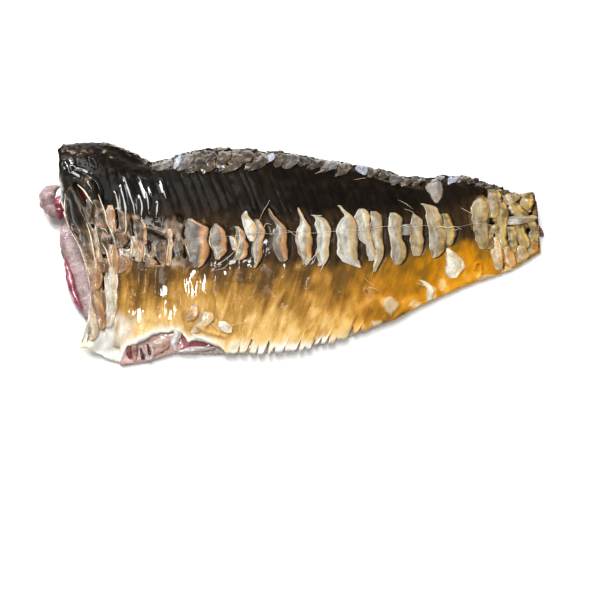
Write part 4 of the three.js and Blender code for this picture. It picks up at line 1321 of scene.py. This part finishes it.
def boardSheets(name, sheets, finish):  # closed sheets with heights of their own, off the skin
    long, wide = boardSheet["long"], boardSheet["wide"]
    points, faces, soft, parts = [], [], [], []
    for number, (tone, high, low, *stations) in enumerate(sheets):
        v, u, leaf = leafGrid(long, wide, number)
        y, left, right = outlineAt(stations, v)
        left = left + 0.5 * softNoise(y / 2, 3.7 * number, 41)
        right = right + 0.5 * softNoise(y / 2, 5.3 * number, 42)
        px = left + np.maximum(right - left, 0.8) * u
        z = high + (low - high) * v + 0.4 * softNoise(px / 3, y / 4 + 5 * number, 43)
        z = z + 0.4 * np.sin(np.pi * u)
        top = seenAtHeight(px, y, np.maximum(z, boardSheet["leastHeight"]))
        rows = len(points) + np.arange(v.size).reshape(v.shape)
        sheet, smoothed = sheetFaces(rows, rows + v.size)
        faces += sheet
        soft += smoothed
        points += [*top.reshape(-1, 3), *(top - (0, 0, boardSheet["thickness"])).reshape(-1, 3)]
        edge = np.clip(np.maximum(np.abs(2 * u - 1), np.abs(2 * v - 1)) * 3 - 2, 0, 1)
        parts += 2 * [flatRows([0 * u + tone, u, edge, leaf])]
    tone, across, edge, leaf = [np.concatenate(column) for column in zip(*parts)]
    made = meshObject(name, points, faces, {"tone": tone, "across": across, "edge": edge, "leaf": leaf},
                      material=finish)
    made.data.polygons.foreach_set("use_smooth", soft)
    return made


settle(boardSheets("bellyWall", wallSheets, finishes["wall"]))
settle(boardSheets("wallStrips", wallStrips, finishes["strip"]))
settle(boardSheets("tailScraps", tailScraps, finishes["fold"]))

# Small pockets along the back as seen: tone, painted bluish shine, x and y of the top, width, height and lean
dorsalSeen = [
    (0.8, 0.2, 164, 157, 21, 14, 2), (0.3, 0, 158, 162, 10, 9, 2), (0.2, 1, 178.5, 155.5, 6, 14, 3),
    (0.9, 0.1, 186, 155, 14, 17, 4), (0.35, 0, 198, 154, 13, 20, 5), (0.6, 0, 209, 158, 12, 17, 5),
    (0.25, 0, 211, 152, 15, 12, 4), (0.7, 0, 224, 151, 14, 15, 5), (0.5, 0, 234, 160, 14, 13, 8),
    (0.85, 0, 243, 150, 22, 16, 6), (0.6, 0, 260, 153, 14, 19, 8), (0.1, 1, 271, 154, 7, 9, 3),
    (0.4, 0, 281, 155, 13, 13, 2), (1.0, 0.1, 292, 156, 17, 13, 2), (0.15, 0, 305, 159, 12, 8, 2),
    (0.3, 0, 316, 160, 15, 10, 4), (0.8, 0.25, 331, 162, 17, 10, 6), (0.45, 0, 345, 163, 12, 14, 6),
    (0.9, 0.7, 363, 163, 13, 13, -5), (0.35, 0, 374, 166, 12, 12, 2), (0.3, 0, 386, 170, 12, 10, 3),
    (0.6, 0.1, 397, 174, 11, 11, 3), (0.5, 0, 408, 175, 13, 11, 3), (0.2, 0, 420, 177, 12, 9, 3),
    (0.9, 0.3, 437, 176, 13, 7, 2), (1.0, 0.9, 454, 173.5, 9, 12, 3), (0.6, 0, 464, 173.5, 11, 10, 3),
    (0.3, 0, 474, 175, 12, 10, 3), (0.7, 0.1, 483, 178, 11, 8, 2), (0.3, 0, 491, 182, 11, 8, 3),
    (0.2, 0, 498, 184, 10, 8, 2), (0.3, 0, 506, 187, 11, 8, 2), (0.3, 0, 192, 166, 9, 8, 3),
    (0.5, 0, 222, 163, 9, 9, 4), (0.3, 0, 250, 164, 9, 7, 4), (0.4, 0, 326, 167, 8, 6, 5),
]

# More of them than the photo shows singly: first and last x, way from the back and height, in millimetres
dorsalRows = [(-76, 22, 5.5, 7), (-78, 26, 0.5, 8), (24, 96, 0.8, 7)]


def dorsalLeaves():  # rows of small pockets along the back, pointed towards the belly and leaning to the head
    rng = np.random.default_rng(11)
    seen = []
    for tone, blue, x, y, wide, tall, lean in dorsalSeen:
        half = wide / 2
        outline = [(0, -0.75 * half, 0.75 * half), (0.35, -half, half),
                   (0.65, -half - 0.3 * lean, 0.7 * half),
                   (0.88, -0.8 * half - 0.7 * lean, 0.15 * half - 0.5 * lean),
                   (1, -0.5 * half - lean, -0.3 * half - lean)]
        seen.append((tone, *[(y + down * tall, x + left, x + right) for down, left, right in outline]))
    made = [(tone, share, across, lift, lift * 0 + row[1])
            for (tone, share, across, lift, shade), row in zip(seenLeaves(seen, dorsalStyle), dorsalSeen)]
    table, length = acrossRows(400)
    distances = np.linspace(length, 0, 400)
    v = np.linspace(0, 1, dorsalStyle["long"])[:, None]
    u = np.linspace(0, 1, dorsalStyle["wide"])
    for first, last, start, tall in dorsalRows:
        for x in np.arange(first, last, 5.2):
            x = x + rng.uniform(-2, 2)
            begin, size = start + rng.uniform(-2, 2), tall * rng.uniform(0.6, 1.2)
            spread = rng.uniform(2, 4.6) * np.sqrt(np.clip(1 - v**2.2, 0.015, 1))
            distance = begin + size * (v + 0.1 * np.cos(2 * np.pi * u))
            across = np.interp(-distance, -distances, table)
            share = (x - shift[0] - fish["headEnd"]) / fishLength + 0.35 * (across - 0.86)
            share = share + (spread * (2 * u - 1) - rng.uniform(-0.1, 0.5) * distance) / fishLength
            lift = 0.3 + 0.8 * np.sqrt(np.clip(1 - (2 * u - 1) ** 2, 0, 1)) * np.sin(np.pi * (0.2 + 0.75 * v))
            tone = rng.uniform(0.1, 1) * (0.8 if x < 20 else 0.45)
            # a few of them get a painted bluish shine
            made.append((tone, share, across, lift, 0 * lift + (rng.uniform() < 0.04)))
    return made


settle(leafPiece("dorsalPockets", dorsalLeaves(), dorsalStyle, finishes["dorsal"]))

print("stage: threads")

# Wisps as seen: thickness in millimetres, then (x, y, lift) along each
wisps = [
    (0.35, (461, 208, 0.6), (466, 211, 0.8), (473, 215, 0.4)),
    (0.3, (300, 240, 0.6), (290, 232, 1.2), (287, 231, 0.8)),
    (0.35, (305, 267, 0.4), (310, 261, 1.0), (317, 254, 1.2), (322, 249, 0.8)),
    (0.3, (320, 272, 0.2), (323, 266, 0.8), (325, 262, 0.8)),
    (0.3, (214, 266, 0.3), (222, 262, 0.9), (230, 256, 1.0), (236, 250, 0.8)),
    (0.25, (213, 271, 0.2), (224, 268, 0.7), (230, 262, 0.9)),
    (0.25, (259, 222, 0.3), (262, 214, 0.8), (267, 206, 0.7), (270, 200, 0.3)),
    (0.25, (263, 230, 0.5), (266, 224, 1.0), (272, 225, 0.6)),
    (0.3, (410, 229, 0.8), (404, 226, 1.2), (400, 227, 0.8)),
    (0.25, (404, 209, 0.4), (412, 212, 0.7), (416, 216, 0.7)),
    (0.3, (372, 275, 0.1), (374, 268, 0.6), (376, 262, 0.8)),
    (0.3, (366, 178, 0.4), (360, 179, 0.6), (354, 180, 0.3)),
    (0.3, (315, 174, 0.3), (322, 171, 0.9), (326, 170, 0.4)),
    (0.3, (341, 176, 0.3), (345, 171, 0.9), (350, 165, 0.5)),
    (0.3, (374, 287, 0.2), (370, 284, 0.9), (364, 278, 0.2)),
    (0.3, (368, 288, 0.2), (374, 289, 0.9), (381, 292, 0.3)),
    (0.25, (228, 327, 0.4), (238, 324, 0.7), (250, 322, 0.3)),
    (0.25, (398, 200, 0.2), (406, 204, 0.5), (413, 209, 0.3)),
    (0.3, (416, 283, 0.3), (421, 285, 0.8), (428, 287, 0.4)),
    (0.3, (208, 322, 0.5), (214, 326, 0.9), (220, 333, 0.4)),
    (0.4, (433, 229, 0.6), (440, 227, 1.3), (448, 228.4, 1.2), (455, 226.6, 0.8), (462, 229.6, 0.2)),
    (0.3, (446, 229.6, 0.4), (454, 230.4, 0.9), (461, 228, 0.4)),
]
foldRims = [
    (0.7, (65.2, 194, 0.2), (65.2, 205, 0.3), (65.8, 215, 0.3), (68, 224, 0.3), (74, 237, 0.2)),
    (0.7, (75.4, 241, 0.2), (80.5, 251, 0.3), (85.6, 263, 0.3), (88, 272, 0.3), (87, 282, 0.3),
     (90, 289, 0.1)),
    (1.1, (78, 185.5, 0.2), (84.6, 192, 0.5), (89, 199, 0.5), (93.3, 205, 0.2)),
    (1.0, (86.6, 223, 0.2), (90, 233, 0.4), (92.2, 243, 0.4), (94.3, 255, 0.4), (97, 266, 0.2)),
    (0.5, (94.8, 224, 0.2), (97.9, 237, 0.4), (99.9, 246, 0.2)),
    (0.9, (99, 196, 0.1), (102, 204.5, 0.3), (105.8, 215, 0.4), (107, 223, 0.4), (111, 231, 0.4),
     (115.5, 243, 0.2)),
    (0.6, (100.5, 228, 0.1), (105, 229.6, 0.4), (107.6, 233, 0.2)),
    (0.9, (101.8, 243, 0.1), (106, 250, 0.4), (107.6, 256, 0.4), (110, 265, 0.4), (112, 273, 0.2)),
    (0.6, (113.4, 249, 0.1), (112.2, 257, 0.4), (113.2, 270, 0.2)),
    (0.8, (116.4, 270, 0.1), (117.8, 282, 0.4), (116.4, 292, 0.4), (117.2, 300, 0.4), (114.4, 312, 0.2)),
    (0.7, (104.2, 276, 0.1), (105.8, 290, 0.4), (107.6, 306, 0.4), (107, 324, 0.2)),
    (0.7, (125.4, 213, 0.2), (126.2, 223, 0.4), (125.6, 232, 0.4), (121, 235.4, 0.2)),
    (0.7, (130.6, 239, 0.2), (132.4, 245, 0.4), (131.6, 252, 0.4), (130.8, 258, 0.2)),
    (0.6, (139.8, 243, 0.2), (138.6, 251, 0.4), (138, 260, 0.2)),
    (0.6, (143.5, 262, 0.2), (144.5, 256, 0.4), (145.4, 250, 0.3)),
    (0.6, (168.8, 238, 0.2), (168, 248, 0.4), (166.6, 262, 0.3)),
    (0.7, (188.6, 219, 0.2), (194, 222, 0.4), (202, 225.6, 0.2)),
    (0.5, (185.2, 244, 0.2), (188, 252, 0.3), (190, 258, 0.1)),
    (0.6, (209.6, 236, 0.2), (209.6, 243, 0.4), (213, 250, 0.2)),
    (0.7, (239.6, 230, 0.2), (240.2, 240, 0.5), (238, 250, 0.5), (236, 257, 0.2)),
    (0.7, (298.4, 210, 0.2), (302, 217, 0.4), (307, 223, 0.2)),
    (0.6, (311.5, 215.4, 0.2), (316, 216, 0.4), (322, 215.6, 0.2)),
]
lateralThread = (0.15, *[(x, threadY(x) + 1 + 0.9 * math.sin(x / 7) + 1.1 * math.sin(x / 23),
                          0.7 + 0.6 * math.sin(x / 5)) for x in range(188, 532, 4)])


def threadPiece():  # round threads along paths on the skin, slimmer towards their ends
    points, edges, radii = [], [], []
    for thick, *stations in [*wisps, *foldRims, lateralThread]:
        at, fine = np.linspace(0, 1, len(stations)), np.linspace(0, 1, max(12, 2 * len(stations)))
        px, py, lift = [curve(at, column, fine) for column in np.array(stations, float).T]
        hits = seenOnSkin(px, py)
        share, across = cutsAt(hits[:, 0], hits[:, 1])
        edges += [(i, i + 1) for i in range(len(points), len(points) + len(fine) - 1)]
        points += list(zip(share, across, 0.6 * lift + groundAt(share, across)))
        radii += (0.45 * thick * (0.35 + 0.65 * np.sin(np.pi * fine))).tolist()
    points = np.array(points)
    base = meshObject("threads", points * (1, 1, 0) / mm, [], {"lift": points[:, 2] * mm, "thick": radii},
                      edges=edges)
    g = GeometryBench("threads", {"Guide": plainSkin, "Finish": finishes["thread"], "Sides": 6})
    laid = g.moved(g.input("Geometry"), g.laid(g.node("GeometryNodeInputPosition"), g.named("lift")))
    line = g.node("GeometryNodeMeshToCurve", {}, {"Mesh": laid})
    ring = g.node("GeometryNodeCurvePrimitiveCircle", {}, {"Resolution": g.input("Sides"), "Radius": mm})
    return g.grow(base, g.node("GeometryNodeCurveToMesh", {}, {"Curve": line, "Profile Curve": ring,
                                                               "Scale": g.named("thick"), "Fill Caps": True}))


settle(threadPiece())

print("stage: bare flesh at the head end")

# Bodies as seen: roughness, then (x, y, height, half width, half height) along each, sizes in millimetres
bareFlesh = [
    (0.3, (60, 186, 9, 1.5, 1.5), (52, 190, 8, 3.2, 2.6), (47.5, 198, 7, 3.8, 3.6),
     (49, 206, 6.5, 4.2, 3.6), (54, 213, 6, 3.4, 3), (60, 218, 5, 2, 2)),
    (0.2, (66, 220, 3.2, 4.5, 1.6), (72, 235, 3.4, 8, 2), (79, 250, 3.4, 9, 2.2), (85, 266, 3.4, 9, 2.2),
     (90, 282, 3.4, 8.8, 2.2), (94, 299, 3.2, 8, 2.1), (97, 317, 3, 6, 2), (98, 332, 2.6, 3, 1.6)),
]
darkFlesh = [
    (0.2, (64, 194, 7.5, 1.6, 2), (61, 202, 7, 3.2, 3.2), (60, 211, 6, 3.4, 3.4), (60, 220, 5, 1.6, 1.6)),
    (0.3, (65.5, 258, 4.4, 0.7, 1.2), (67, 266, 4.8, 1.4, 1.8), (70, 277, 5, 1.9, 2.1),
     (72.5, 289, 5, 1.9, 2.1), (77, 301, 4.8, 1.6, 1.9), (82, 311, 4.2, 1.1, 1.4)),
]


def sweptBodies(name, bodies, finish, ringSteps=18, longSteps=44):  # lumpy closed bodies along paths
    points, faces = [], []
    for number, (rough, *stations) in enumerate(bodies):
        px, py, z, wide, high = np.array(stations, float).T
        at = np.linspace(0, 1, len(px))
        fine = 0.5 - 0.5 * np.cos(np.linspace(0.02, np.pi - 0.02, longSteps))
        path = np.stack([curve(at, column, fine) for column in seenAtHeight(px, py, z).T], -1)
        wide, high = curve(at, wide, fine), curve(at, high, fine)
        along = np.gradient(path, axis=0)
        along /= np.linalg.norm(along, axis=1)[:, None]
        side = np.cross(along, (0, 0, 1))
        side /= np.linalg.norm(side, axis=1)[:, None]
        rise = np.cross(side, along)
        full = np.sqrt(1 - np.abs(2 * fine - 1) ** 3 + 0.01)
        turn = np.linspace(0, 2 * np.pi, ringSteps, endpoint=False)
        a, b = np.meshgrid(fine * 6 + number * 9, turn, indexing="ij")
        bumps = 1 + rough * softNoise(a * 1.3, 3 * np.sin(b), 31)
        bumps = bumps + 0.4 * rough * softNoise(a * 4, 6 * np.cos(b), 32)
        ring = (side[:, None] * (wide * full)[:, None, None] * np.cos(turn)[:, None]
                + rise[:, None] * (high * full)[:, None, None] * np.sin(turn)[:, None]) * bumps[..., None]
        body = path[:, None] + ring
        body[..., 2] = np.maximum(body[..., 2], 0.2)
        faces += tubeFaces(longSteps, ringSteps, len(points))
        points += body.reshape(-1, 3).tolist()
    made = meshObject(name, points, faces, material=finish)
    whole = bmesh.new()
    whole.from_mesh(made.data)
    bmesh.ops.recalc_face_normals(whole, faces=whole.faces)
    whole.to_mesh(made.data)
    whole.free()
    return made


settle(sweptBodies("headFlesh", bareFlesh, finishes["fascia"]))
settle(sweptBodies("headDarkFlesh", darkFlesh, finishes["darkFlesh"]))

print("stage: floor, light and camera")

reach = 3000  # half the floor's side, in millimetres
corners = [(-reach, -reach, 0), (reach, -reach, 0), (reach, reach, 0), (-reach, reach, 0)]
floorMesh = meshObject("floor", corners, [(0, 1, 2, 3)], material=finishes["floor"])

# Metres and watts
lights = {
    "window": {"at": (-0.62, 0.82, 0.68), "size": 0.3, "power": 10, "colour": (1, 0.98, 0.95)},
    "fill": {"at": (0.25, -0.5, 1.1), "size": 1.2, "power": 4.2, "colour": (1, 1, 1), "glossy": False},
    "ceiling": {"at": (-0.12, 0.1, 1.2), "size": 0.17, "power": 3.4, "colour": (1, 0.99, 0.97)},
    "strip": {"at": (-0.25, 0.6, 1.0), "size": 0.3, "long": 0.66, "power": 10.5, "colour": (1, 0.99, 0.97)},
}
worldStrength = 0.22

for name, light in lights.items():
    lamp = bpy.data.lights.new(name, "AREA")
    lamp.shape = "RECTANGLE"
    lamp.size, lamp.size_y = light["size"], light.get("long", light["size"])
    lamp.energy, lamp.color = light["power"], light["colour"]
    holder = bpy.data.objects.new(name, lamp)
    holder.location = light["at"]
    holder.visible_glossy = light.get("glossy", True)
    holder.rotation_euler = (-Vector(light["at"])).to_track_quat("-Z", "Y").to_euler()
    bpy.context.scene.collection.objects.link(holder)

world = bpy.data.worlds.new("studio")
world.use_nodes = True
world.node_tree.nodes["Background"].inputs["Color"].default_value = (1, 1, 1, 1)
world.node_tree.nodes["Background"].inputs["Strength"].default_value = worldStrength
bpy.context.scene.world = world
bpy.context.scene.view_settings.view_transform = "Standard"

lens = bpy.data.cameras.new("camera")
lens.lens, lens.sensor_width = view["lens"], view["sensor"]
camera = bpy.data.objects.new("camera", lens)
camera.location = Vector(eye) * mm
camera.rotation_euler = (math.radians(90 - view["steepness"]), 0, 0)
bpy.context.scene.collection.objects.link(camera)
bpy.context.scene.camera = camera

bpy.data.objects.remove(plainSkin)
